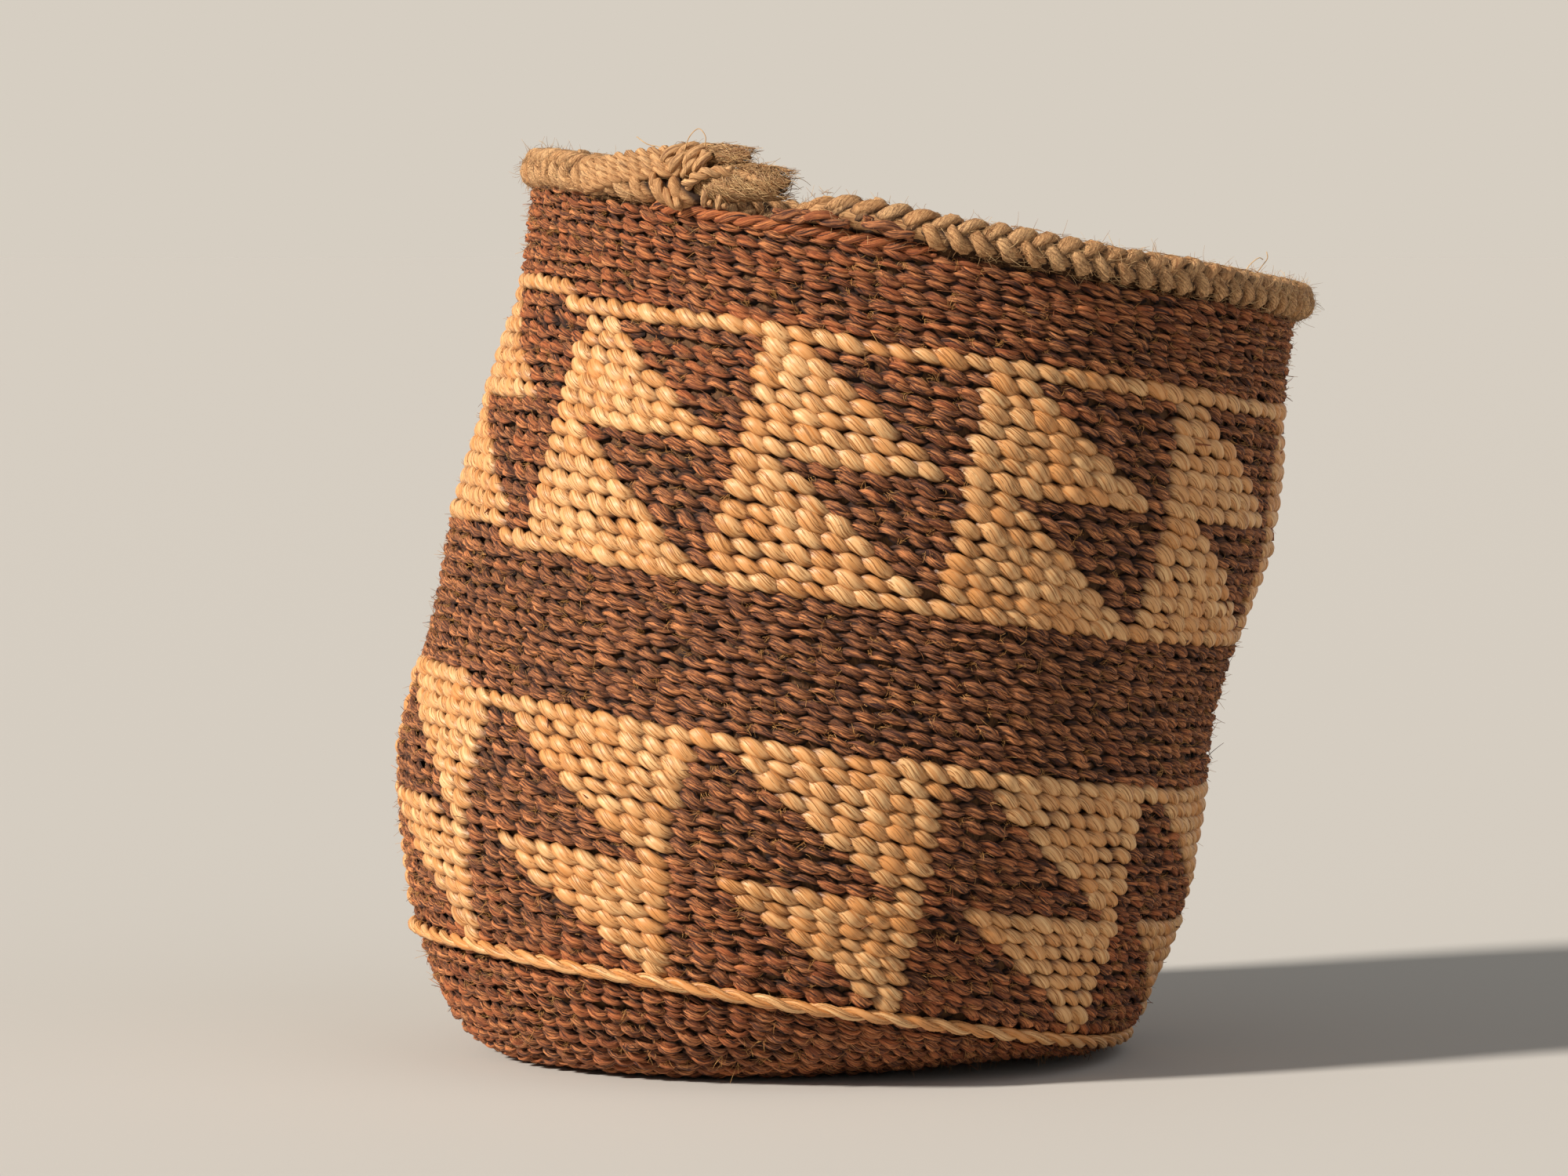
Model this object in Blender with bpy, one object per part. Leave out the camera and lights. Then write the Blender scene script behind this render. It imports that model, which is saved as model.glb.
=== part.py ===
"""A small round bag, twined from bark strands and pale husk, with a rolled jute rim.

It stands on its flat base and leans to its right. Lengths are in metres, +Z is up
and the side with the knot in the rim faces -Y.
"""
import math

import bmesh
import bpy
import numpy as np
from mathutils import Vector

MM = 0.001

# The body, measured on its outside
BODY_RADIUS = 64.8 * MM  # the widest ring
WALL_HEIGHT = 127.6 * MM  # floor to the centre of the wall's top ring
SIDE_LEAN = 27.7 * MM  # the top ring's centre stands this far right of the base's
BACK_LEAN = 2.4 * MM  # and this far behind it
WALL_THICKNESS = 4.8 * MM  # warp with a weft on either side
RING_TILT = math.radians(9.4)  # the rings slope down to the right
RING_LIFT = math.radians(1.2)  # and their front edge is a little raised
CLEARANCE = 0.3 * MM  # between one piece and the next

# How many weft courses there are, from the rim down to the middle of the base
TOP_COURSES = 7
UPPER_BAND_COURSES = 16
MIDDLE_COURSES = 10
LOWER_BAND_COURSES = 17
HEEL_COURSES = 10
BASE_COURSES = 16
HUB_COURSES = 2  # the innermost courses of the base, which tie the first warps

# The warps that stand inside the wall
WARP_COUNT = 20
WARP_WIDTH = 1.8 * MM
WARP_THICKNESS = 1.6 * MM
WARP_SIDES_PER_SECTOR = 2  # flat stretches of wall for each warp

# The cord laid over the outside, just above the heel
OVERLAY_CORD_RADIUS = 0.9 * MM
OVERLAY_POINTS = 36

# The rolled rim: a core cord inside a plaited binding
RIM_RADIUS = 2.75 * MM
RIM_END_SHARE = 1.12  # how much thicker it is at its end, left of the knot
RIM_OVERHANG = 1.4 * MM  # how far it sits outside the middle of the wall
RIM_CORE_RADIUS = 1.2 * MM
RIM_START_ANGLE = math.radians(-20)  # from the front towards the right
RIM_END_ANGLE = math.radians(317)
RIM_TAPER_LENGTH = 8.0 * MM  # the binding's first stretch, which thickens
RIM_START_SHARE = 0.4  # its thickness where it starts
RIM_POINTS = 34
RIM_SIDES = 8
CORE_SIDES = 6
CORE_SETBACK = 12.0 * MM  # from the binding's start to the core's

# The knot: a cord coiled round the end of the core, and the tails that leave it. A
# reach runs along the rim from the binding's end, a rise is from the rim's centre line.
KNOT_CORD_RADIUS = 0.85 * MM
KNOT_TURNS = 3.5
KNOT_POINTS_PER_TURN = 8
KNOT_START_REACH = 3.4 * MM
KNOT_START_RISE = 2.6 * MM
KNOT_LENGTH = 6.2 * MM
KNOT_CLIMB = 2.8 * MM  # how much higher the knot's right end is
CORE_TAIL_LENGTH = 8.0 * MM  # the cut end of the core beyond the knot
CORE_TAIL_CLIMB = 2.0 * MM  # and how much higher still its end is
TAIL_LENGTH = 14.0 * MM  # the frayed end of the binding cord
TAIL_START_RISE = 0.2 * MM
TAIL_END_RISE = 4.6 * MM
TAIL_RADIUS = 2.8 * MM  # at its fullest
TAIL_RADIUS_SHARES = (0.32, 0.60, 0.92, 1.00, 0.76)  # from the knot to the brush's end
STUB_TOP_RISE = 2.4 * MM
STUB_LENGTH = 5.2 * MM  # the short end that hangs down at the knot's left
STUB_RADIUS = 0.9 * MM

# The outside rings: course number, then shares of the body's radius, of the wall's
# height, of both leans, of the tilt and of the lift
STATION_SHARES = (
    (0.0, 0.962, 1.000, 1.000, 1.05, 1.0),
    (6.6, 0.960, 0.894, 0.939, 1.00, 1.1),
    (11.9, 0.984, 0.796, 0.838, 0.99, 1.0),
    (16.9, 0.996, 0.700, 0.745, 0.98, 1.0),
    (21.6, 0.989, 0.609, 0.615, 0.95, 0.9),
    (27.7, 0.980, 0.503, 0.495, 0.94, 0.8),
    (33.1, 0.993, 0.409, 0.412, 0.93, 0.7),
    (38.2, 1.000, 0.314, 0.305, 0.95, 0.8),
    (42.5, 0.981, 0.235, 0.251, 0.98, 1.0),
    (47.1, 0.938, 0.151, 0.205, 1.00, 1.6),
    (48.6, 0.924, 0.121, 0.200, 1.00, 1.8),
    (50.2, 0.885, 0.091, 0.158, 1.00, 2.0),
    (52.0, 0.855, 0.066, 0.135, 0.88, 1.7),
    (54.0, 0.802, 0.044, 0.095, 0.63, 1.2),
    (56.0, 0.733, 0.022, 0.048, 0.32, 0.8),
    (58.0, 0.660, 0.007, 0.012, 0.07, 0.4),
    (60.0, 0.585, 0.000, 0.000, 0.00, 0.0),
    (62.0, 0.512, 0.000, 0.000, 0.00, 0.0),
    (76.0, 0.000, 0.000, 0.000, 0.00, 0.0),
)

BARK = "73493A"
BARK_DEEP = "5F3B2D"
HUSK = "D9AC70"
JUTE = "B8935F"

TURN = 2 * math.pi


def smooth_through(places, values):
    """A curve through the values that never overshoots them."""
    places = np.array(places, float)
    values = np.array(values, float)
    slopes = np.diff(values) / np.diff(places)
    tangents = np.zeros(len(places))
    tangents[0] = slopes[0]
    tangents[-1] = slopes[-1]
    for i in range(1, len(places) - 1):
        if slopes[i - 1] * slopes[i] > 0:
            tangents[i] = 2 / (1 / slopes[i - 1] + 1 / slopes[i])

    def at(place):
        i = int(np.clip(np.searchsorted(places, place) - 1, 0, len(slopes) - 1))
        run = places[i + 1] - places[i]
        t = (place - places[i]) / run
        return float(
            (2 * t**3 - 3 * t**2 + 1) * values[i]
            + (t**3 - 2 * t**2 + t) * run * tangents[i]
            + (3 * t**2 - 2 * t**3) * values[i + 1]
            + (t**3 - t**2) * run * tangents[i + 1]
        )

    return at


COURSE_PLACES = [row[0] for row in STATION_SHARES]
radius_share_at = smooth_through(COURSE_PLACES, [row[1] for row in STATION_SHARES])
height_share_at = smooth_through(COURSE_PLACES, [row[2] for row in STATION_SHARES])
lean_share_at = smooth_through(COURSE_PLACES, [row[3] for row in STATION_SHARES])
tilt_share_at = smooth_through(COURSE_PLACES, [row[4] for row in STATION_SHARES])
lift_share_at = smooth_through(COURSE_PLACES, [row[5] for row in STATION_SHARES])


def ring(course):
    """The ring's centre, its radius, and its directions to the right and to the front."""
    lean = lean_share_at(course)
    centre = Vector((lean * SIDE_LEAN, lean * BACK_LEAN, height_share_at(course) * WALL_HEIGHT))
    tilt = RING_TILT * tilt_share_at(course)
    lift = RING_LIFT * lift_share_at(course)
    right = Vector((math.cos(tilt), 0, -math.sin(tilt)))
    front = Vector((0, -math.cos(lift), math.sin(lift)))
    return centre, radius_share_at(course) * BODY_RADIUS, right, front


def outside(course, angle):
    """A point on the outside of the wall; the angle runs from the front to the right."""
    centre, radius, right, front = ring(course)
    return centre + radius * (math.sin(angle) * right + math.cos(angle) * front)


def outward(course, angle):
    """The direction straight out of the wall at a place on it."""
    step = 0.25
    up = outside(max(course - step, 0), angle) - outside(course + step, angle)
    along = outside(course, angle + 0.01) - outside(course, angle - 0.01)
    return along.cross(up).normalized()


def in_wall(course, angle, depth, facing):
    """A point this deep under the outside, straight in as the wall faces at a course."""
    return outside(course, angle) - outward(facing, angle) * depth


def course_length(course):
    """How far it is along the wall from one course to the next."""
    return (outside(course + 0.5, 0) - outside(max(course - 0.5, 0), 0)).length


def linear(hex_colour):
    """An sRGB colour written in hex, as the linear values that a shader takes."""
    parts = [int(hex_colour[i : i + 2], 16) / 255 for i in (0, 2, 4)]
    bright = [c / 12.92 if c <= 0.04045 else ((c + 0.055) / 1.055) ** 2.4 for c in parts]
    return (*bright, 1)


def make_material(name, hex_colour, roughness):
    material = bpy.data.materials.new(name)
    material.use_nodes = True
    shader = material.node_tree.nodes["Principled BSDF"]
    shader.inputs["Base Color"].default_value = linear(hex_colour)
    shader.inputs["Roughness"].default_value = roughness
    shader.inputs["Metallic"].default_value = 0
    return material


def add_object(name, bm, hex_colour, roughness, sharp_degrees):
    """Turns a finished bmesh into an object with its own material, shaded smooth."""
    bmesh.ops.recalc_face_normals(bm, faces=bm.faces)
    mesh = bpy.data.meshes.new(name)
    bm.to_mesh(mesh)
    bm.free()
    mesh.shade_smooth()
    mesh.set_sharp_from_angle(angle=math.radians(sharp_degrees))
    mesh.materials.append(make_material(name, hex_colour, roughness))
    thing = bpy.data.objects.new(name, mesh)
    bpy.context.scene.collection.objects.link(thing)
    thing.parent = frame
    return thing


def join_rows(bm, row, next_row):
    """Quads between two closed rows of as many points."""
    for i in range(len(row)):
        after = (i + 1) % len(row)
        bm.faces.new((row[i], row[after], next_row[after], next_row[i]))


def tunnel_corners(course, angle, clearance, facing):
    """The four corners of a warp's section, or of its tunnel with a clearance added."""
    half_width = WARP_WIDTH / 2 + clearance
    half_thickness = WARP_THICKNESS / 2 + clearance
    centre = in_wall(course, angle, WALL_THICKNESS / 2, facing)
    out = outward(facing, angle)
    _, _, right, front = ring(course)
    along = math.cos(angle) * right - math.sin(angle) * front
    return [
        centre + along * half_width + out * half_thickness,
        centre - along * half_width + out * half_thickness,
        centre - along * half_width - out * half_thickness,
        centre + along * half_width - out * half_thickness,
    ]


def weft_band(name, first, last, rows, warp_count, hex_colour):
    """A stack of weft courses, twined round the warps: a ring with a tunnel for each warp."""
    half_gap = CLEARANCE / 2
    top = first + half_gap / course_length(first)
    bottom = last - half_gap / course_length(last)
    courses = [top + (bottom - top) * i / rows for i in range(rows + 1)]
    sector = TURN / warp_count
    bm = bmesh.new()
    outer_rows, inner_rows, tunnel_rows = [], [], []
    # Two neighbouring bands are cut square to the wall at the course where they meet
    facings = [first] + courses[1:-1] + [last]
    for course, facing in zip(courses, facings):
        outer, inner, tunnels = [], [], []
        for i in range(warp_count):
            for k in range(WARP_SIDES_PER_SECTOR):
                angle = sector * (i + (k - 1) / WARP_SIDES_PER_SECTOR)
                outer.append(bm.verts.new(outside(course, angle)))
                inner.append(bm.verts.new(in_wall(course, angle, WALL_THICKNESS, facing)))
            corners = tunnel_corners(course, sector * i, CLEARANCE, facing)
            tunnels.append([bm.verts.new(place) for place in corners])
        outer_rows.append(outer)
        inner_rows.append(inner)
        tunnel_rows.append(tunnels)
    for k in range(rows):
        join_rows(bm, outer_rows[k], outer_rows[k + 1])
        join_rows(bm, inner_rows[k + 1], inner_rows[k])
        for i in range(warp_count):
            join_rows(bm, tunnel_rows[k + 1][i], tunnel_rows[k][i])
    for k in (0, rows):
        outer, inner = outer_rows[k], inner_rows[k]
        for i in range(warp_count):
            before = WARP_SIDES_PER_SECTOR * i
            middle = before + 1
            after = (before + WARP_SIDES_PER_SECTOR) % len(outer)
            right_out, left_out, left_in, right_in = tunnel_rows[k][i]
            bm.faces.new((outer[before], outer[middle], left_out))
            bm.faces.new((outer[middle], right_out, left_out))
            bm.faces.new((outer[middle], outer[after], right_out))
            bm.faces.new((outer[after], inner[after], right_in, right_out))
            bm.faces.new((inner[after], inner[middle], right_in))
            bm.faces.new((inner[middle], left_in, right_in))
            bm.faces.new((inner[middle], inner[before], left_in))
            bm.faces.new((inner[before], outer[before], left_out, left_in))
    add_object(name, bm, hex_colour, 0.85, 40)


def warp_cord(number, angle, courses):
    """One warp, from the base up to the rim, in the middle of the wall."""
    bm = bmesh.new()
    rows = []
    for course in courses:
        rows.append([bm.verts.new(place) for place in tunnel_corners(course, angle, 0, course)])
    for k in range(len(rows) - 1):
        join_rows(bm, rows[k], rows[k + 1])
    bm.faces.new(rows[0][::-1])
    bm.faces.new(rows[-1])
    add_object(f"warp_cord_{number:02d}", bm, JUTE, 0.9, 80)


def tube_rows(bm, points, directions, radii, sides, upright):
    """A closed row of points round each point of a path, square to its direction."""
    rows = []
    for place, along, radius in zip(points, directions, radii):
        side = along.cross(upright).normalized()
        up = side.cross(along).normalized()
        row = []
        for k in range(sides):
            turn = TURN * k / sides
            row.append(bm.verts.new(place + radius * (math.cos(turn) * side + math.sin(turn) * up)))
        rows.append(row)
    return rows


def path_directions(points):
    """The direction of a path at each of its points."""
    last = len(points) - 1
    return [
        (points[min(i + 1, last)] - points[max(i - 1, 0)]).normalized() for i in range(last + 1)
    ]


def cord(name, points, radii, sides, hex_colour, upright):
    """A solid round cord along a path, flat at both ends."""
    bm = bmesh.new()
    rows = tube_rows(bm, points, path_directions(points), radii, sides, upright)
    for k in range(len(rows) - 1):
        join_rows(bm, rows[k], rows[k + 1])
    bm.faces.new(rows[0][::-1])
    bm.faces.new(rows[-1])
    add_object(name, bm, hex_colour, 0.9, 60)


def overlay_cord():
    """The pale cord laid round the outside on the last course above the heel."""
    course = TOP_COURSES + UPPER_BAND_COURSES + MIDDLE_COURSES + LOWER_BAND_COURSES
    stand_off = CLEARANCE + OVERLAY_CORD_RADIUS
    angles = [TURN * i / OVERLAY_POINTS for i in range(OVERLAY_POINTS)]
    bm = bmesh.new()
    rows = []
    for angle in angles:
        out = outward(course, angle)
        _, _, right, front = ring(course)
        along = math.cos(angle) * right - math.sin(angle) * front
        up = out.cross(along).normalized()
        # A facet of the wall lies inside its ring, so the cord only needs its clearance
        centre = outside(course, angle) + out * stand_off
        row = []
        for k in range(CORE_SIDES):
            turn = TURN * (k + 0.5) / CORE_SIDES
            reach = math.cos(turn) * out + math.sin(turn) * up
            row.append(bm.verts.new(centre + OVERLAY_CORD_RADIUS * reach))
        rows.append(row)
    for k in range(len(rows)):
        join_rows(bm, rows[k], rows[(k + 1) % len(rows)])
    add_object("overlay_cord", bm, HUSK, 0.6, 60)


def rim_axis():
    """The direction straight up out of the wall's top ring."""
    _, _, right, front = ring(0)
    return front.cross(right).normalized()


def rim_point(angle, rise):
    """A point over the middle of the wall's top edge; the rise is from that edge."""
    centre, radius, right, front = ring(0)
    reach = radius - WALL_THICKNESS / 2 + RIM_OVERHANG
    return centre + reach * (math.sin(angle) * right + math.cos(angle) * front) + rim_axis() * rise


def rim_thickness_share(angle):
    """How thick the rim is here, as a share of its radius: it grows towards its end."""
    progress = (angle - RIM_START_ANGLE) / (RIM_END_ANGLE - RIM_START_ANGLE)
    return 1 + (RIM_END_SHARE - 1) * min(max(progress, 0), 1)


def rim_centre(angle):
    """A point on the rim's centre line, seated over the wall's top edge."""
    return rim_point(angle, CLEARANCE + RIM_RADIUS * rim_thickness_share(angle))


def rim_binding():
    """The plaited binding: a pipe that tapers to its start and is open at its end."""
    radius = ring(0)[1]
    taper_angle = RIM_TAPER_LENGTH / radius
    core_angle = RIM_START_ANGLE + CORE_SETBACK / radius
    sweep = RIM_END_ANGLE - RIM_START_ANGLE
    step = sweep / RIM_POINTS
    angles = [RIM_START_ANGLE + taper_angle * share for share in (0, 0.5, 1)]
    rest = [RIM_START_ANGLE + step * i for i in range(1, RIM_POINTS + 1)]
    angles += [angle for angle in rest if angle > angles[-1] + step / 2]
    radii = []
    for angle in angles:
        share = min((angle - RIM_START_ANGLE) / taper_angle, 1)
        taper = RIM_START_SHARE + (1 - RIM_START_SHARE) * share
        radii.append(RIM_RADIUS * rim_thickness_share(angle) * taper)
    points = [rim_centre(angle) for angle in angles]
    bm = bmesh.new()
    outer = tube_rows(bm, points, path_directions(points), radii, RIM_SIDES, rim_axis())
    bore_angles = [core_angle] + [angle for angle in angles if angle > core_angle + step / 4]
    bore_points = [rim_centre(angle) for angle in bore_angles]
    bore_radii = [RIM_CORE_RADIUS + CLEARANCE] * len(bore_points)
    directions = path_directions(bore_points)
    directions[-1] = path_directions(points)[-1]
    bore = tube_rows(bm, bore_points, directions, bore_radii, RIM_SIDES, rim_axis())
    for k in range(len(outer) - 1):
        join_rows(bm, outer[k], outer[k + 1])
    for k in range(len(bore) - 1):
        join_rows(bm, bore[k + 1], bore[k])
    bm.faces.new(outer[0][::-1])
    bm.faces.new(bore[0])
    join_rows(bm, outer[-1], bore[-1])
    add_object("rim_binding", bm, JUTE, 0.9, 60)
    return bore_angles


def knot_place(reach, rise):
    """A point this far along from the binding's end and this far over the rim's centre line."""
    angle = RIM_END_ANGLE + reach / ring(0)[1]
    return rim_point(angle, CLEARANCE + RIM_RADIUS * RIM_END_SHARE + rise)


def knot_centre(share):
    """A point on the knot's centre line, from its left end to its right."""
    reach = KNOT_START_REACH + KNOT_LENGTH * share
    return knot_place(reach, KNOT_START_RISE + KNOT_CLIMB * share)


def rim_core(bore_angles):
    """The core cord: round the rim inside the binding, through the knot to its cut end."""
    setback = 3 * CLEARANCE / ring(0)[1]
    points = [rim_centre(bore_angles[0] + setback)]
    points += [rim_centre(angle) for angle in bore_angles[1:]]
    points.append(knot_place(KNOT_START_REACH * 0.55, KNOT_START_RISE * 0.55))
    points += [knot_centre(share) for share in (0.0, 0.5, 1.0)]
    knot_end = KNOT_START_REACH + KNOT_LENGTH
    knot_top = KNOT_START_RISE + KNOT_CLIMB
    for share in (0.5, 1.0):
        climb = CORE_TAIL_CLIMB * share
        points.append(knot_place(knot_end + CORE_TAIL_LENGTH * share, knot_top + climb))
    cord("rim_core", points, [RIM_CORE_RADIUS] * len(points), CORE_SIDES, JUTE, rim_axis())


def knot_coil():
    """The cord coiled round the core where the rim's two ends meet."""
    coil_radius = RIM_CORE_RADIUS + 1.5 * CLEARANCE + KNOT_CORD_RADIUS
    count = int(KNOT_TURNS * KNOT_POINTS_PER_TURN)
    line = (knot_centre(1) - knot_centre(0)).normalized()
    side = line.cross(rim_axis()).normalized()
    square_up = side.cross(line).normalized()
    points = []
    for i in range(count + 1):
        turn = TURN * i / KNOT_POINTS_PER_TURN
        spoke = math.cos(turn) * side + math.sin(turn) * square_up
        points.append(knot_centre(i / count) + coil_radius * spoke)
    radii = [KNOT_CORD_RADIUS] * len(points)
    cord("knot_coil", points, radii, CORE_SIDES, JUTE, line)
    return coil_radius + KNOT_CORD_RADIUS


def frayed_tail():
    """The end of the binding cord, which leaves the knot low and opens into a brush."""
    start = KNOT_START_REACH + KNOT_LENGTH + KNOT_CORD_RADIUS
    last = len(TAIL_RADIUS_SHARES) - 1
    points = []
    for i in range(last + 1):
        rise = TAIL_START_RISE + (TAIL_END_RISE - TAIL_START_RISE) * i / last
        points.append(knot_place(start + TAIL_LENGTH * i / last, rise))
    radii = [TAIL_RADIUS * share for share in TAIL_RADIUS_SHARES]
    cord("frayed_tail", points, radii, CORE_SIDES, JUTE, rim_axis())


def rim_stub(knot_radius):
    """The short cord end that hangs in front of the knot's left side."""
    out = outward(0, RIM_END_ANGLE) * (knot_radius + CLEARANCE + STUB_RADIUS)
    rises = (STUB_TOP_RISE, STUB_TOP_RISE - STUB_LENGTH)
    points = [knot_place(KNOT_START_REACH, rise) + out for rise in rises]
    cord("rim_stub", points, [STUB_RADIUS] * 2, CORE_SIDES, JUTE, ring(0)[2])


frame = None


def build():
    global frame
    for thing in list(bpy.data.objects):
        bpy.data.objects.remove(thing, do_unlink=True)
    frame = bpy.data.objects.new("bag_frame", None)
    bpy.context.scene.collection.objects.link(frame)

    upper_start = TOP_COURSES
    upper_end = upper_start + UPPER_BAND_COURSES
    lower_start = upper_end + MIDDLE_COURSES
    lower_end = lower_start + LOWER_BAND_COURSES
    heel_end = lower_end + HEEL_COURSES
    base_middle = heel_end + BASE_COURSES / 2
    hub_start = heel_end + BASE_COURSES - HUB_COURSES
    upper_split = (upper_start + upper_end) / 2
    lower_split = (lower_start + lower_end) / 2
    bands = (
        ("top_courses", 0, upper_start, 1, BARK),
        ("upper_band_high", upper_start, upper_split, 1, HUSK),
        ("upper_band_low", upper_split, upper_end, 2, HUSK),
        ("middle_courses", upper_end, lower_start, 1, BARK),
        ("lower_band_high", lower_start, lower_split, 1, HUSK),
        ("lower_band_low", lower_split, lower_end, 4, HUSK),
        ("heel_courses", lower_end, heel_end, 5, BARK_DEEP),
        ("base_courses_outer", heel_end, base_middle, 1, BARK_DEEP),
    )
    for name, first, last, rows, colour in bands:
        weft_band(name, first, last, rows, WARP_COUNT, colour)
    weft_band("base_courses_inner", base_middle, hub_start, 1, WARP_COUNT // 2, BARK_DEEP)

    # The warps have a row of points wherever a band has one
    rows_down = []
    for _, first, last, rows, _ in bands:
        rows_down += [first + (last - first) * i / rows for i in range(rows)]
    rows_down.append(base_middle)
    gap = CLEARANCE / course_length(hub_start)
    for i in range(WARP_COUNT):
        courses = list(rows_down)
        if i % 2 == 0:
            courses.append(hub_start - gap / 2)
        warp_cord(i + 1, TURN * i / WARP_COUNT, courses)

    hub_radius = ring(hub_start)[1] - CLEARANCE
    bm = bmesh.new()
    bmesh.ops.create_cone(
        bm, cap_ends=True, segments=WARP_COUNT, radius1=hub_radius, radius2=hub_radius,
        depth=WALL_THICKNESS,
    )
    hub = add_object("base_hub", bm, BARK_DEEP, 0.85, 40)
    hub.location = (0, 0, WALL_THICKNESS / 2)

    overlay_cord()
    rim_core(rim_binding())
    rim_stub(knot_coil())
    frayed_tail()

    # The whole bag moves so that the middle of its footprint box is the origin
    bpy.context.view_layer.update()
    corners = []
    for thing in bpy.data.objects:
        if thing.type == "MESH":
            corners += [thing.matrix_world @ v.co for v in thing.data.vertices]
    low = [min(corner[axis] for corner in corners) for axis in range(3)]
    high = [max(corner[axis] for corner in corners) for axis in range(3)]
    frame.location = (-(low[0] + high[0]) / 2, -(low[1] + high[1]) / 2, -low[2])


build()
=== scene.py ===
# %% [markdown]
# # A sally bag, twined in bark and husk
# The real bag is made of strands: about a hundred fine warps, two wefts that are twined round
# them in one long helix, a plaited jute rim and a knot. A picture of a weave on a smooth pot
# would be flat at its edges, so every stitch here is a small closed mesh of its own. Arrays
# lay out thousands of them at once, and they all sit on the same wall as the solid model.

# %% Load the solid model
import math

import bpy
import numpy as np
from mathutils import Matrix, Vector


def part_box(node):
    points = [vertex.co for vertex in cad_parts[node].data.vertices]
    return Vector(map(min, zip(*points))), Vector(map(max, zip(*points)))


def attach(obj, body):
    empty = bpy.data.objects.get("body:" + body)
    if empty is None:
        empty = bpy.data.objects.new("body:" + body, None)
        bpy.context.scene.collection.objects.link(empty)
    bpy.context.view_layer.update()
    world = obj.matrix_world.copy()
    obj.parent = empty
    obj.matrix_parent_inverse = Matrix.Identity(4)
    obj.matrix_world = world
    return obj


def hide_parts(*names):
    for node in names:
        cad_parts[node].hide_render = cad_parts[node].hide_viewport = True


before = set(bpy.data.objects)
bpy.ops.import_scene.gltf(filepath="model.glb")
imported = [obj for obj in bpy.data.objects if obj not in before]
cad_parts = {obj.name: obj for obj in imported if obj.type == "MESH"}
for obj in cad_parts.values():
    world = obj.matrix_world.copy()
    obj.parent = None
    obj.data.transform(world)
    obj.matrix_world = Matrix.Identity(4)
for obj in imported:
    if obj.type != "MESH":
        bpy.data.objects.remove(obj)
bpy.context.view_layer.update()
MM = 0.001
TURN = 2 * math.pi

# %% [markdown]
# ## The camera
# The photograph was taken from about a metre away with a long lens, level with the rim. The
# camera stands there first.

# %% Camera
hub_low, hub_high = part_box("base_hub")
HUB = np.array([(hub_low.x + hub_high.x) / 2, (hub_low.y + hub_high.y) / 2, 0]) / MM
FOCAL, FRAME, HORIZON = 8500, 2000, 500  # in pixels; the horizon is that far over the middle
ASIDE, AWAY, EYE_HEIGHT = 6.7, 1070, 137.2  # in mm, from the middle of the base


def put(name, data):
    """A new object in the scene."""
    thing = bpy.data.objects.new(name, data)
    bpy.context.scene.collection.objects.link(thing)
    return thing


lens = bpy.data.cameras.new("photo_camera")
lens.sensor_width = 36
lens.lens = 36 * FOCAL / FRAME
lens.clip_start, lens.clip_end = 0.05, 20
camera = put("photo_camera", lens)
camera.location = ((HUB[0] + ASIDE) * MM, (HUB[1] - AWAY) * MM, EYE_HEIGHT * MM)
camera.rotation_euler = (math.pi / 2 - math.atan(HORIZON / FOCAL), 0, 0)
bpy.context.scene.camera = camera
print("camera at", [round(x, 3) for x in camera.location])

# %% [markdown]
# ## The wall that the stitches follow
# The bag has grown crooked: each course is a ring with its own centre, radius and tilt. The
# numbers are the same as the solid model's. A curve that never overshoots joins them.

# %% Rings of the wall
BODY_RADIUS, WALL_HEIGHT, WALL_THICKNESS = 64.8, 127.6, 4.8
SIDE_LEAN, BACK_LEAN = 27.7, 2.4
RING_TILT, RING_LIFT = math.radians(9.4), math.radians(1.2)
# course, then shares of the radius, the height, the lean, the tilt and the lift
STATIONS = np.array([
    (0.0, 0.962, 1.000, 1.000, 1.05, 1.0), (6.6, 0.960, 0.894, 0.939, 1.00, 1.1),
    (11.9, 0.984, 0.796, 0.838, 0.99, 1.0), (16.9, 0.996, 0.700, 0.745, 0.98, 1.0),
    (21.6, 0.989, 0.609, 0.615, 0.95, 0.9), (27.7, 0.980, 0.503, 0.495, 0.94, 0.8),
    (33.1, 0.993, 0.409, 0.412, 0.93, 0.7), (38.2, 1.000, 0.314, 0.305, 0.95, 0.8),
    (42.5, 0.981, 0.235, 0.251, 0.98, 1.0), (47.1, 0.938, 0.151, 0.205, 1.00, 1.6),
    (48.6, 0.924, 0.121, 0.200, 1.00, 1.8), (50.2, 0.885, 0.091, 0.158, 1.00, 2.0),
    (52.0, 0.855, 0.066, 0.135, 0.88, 1.7), (54.0, 0.802, 0.044, 0.095, 0.63, 1.2),
    (56.0, 0.733, 0.022, 0.048, 0.32, 0.8), (58.0, 0.660, 0.007, 0.012, 0.07, 0.4),
    (60.0, 0.585, 0.000, 0.000, 0.00, 0.0), (62.0, 0.512, 0.000, 0.000, 0.00, 0.0),
    (76.0, 0.000, 0.000, 0.000, 0.00, 0.0),
])


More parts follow.
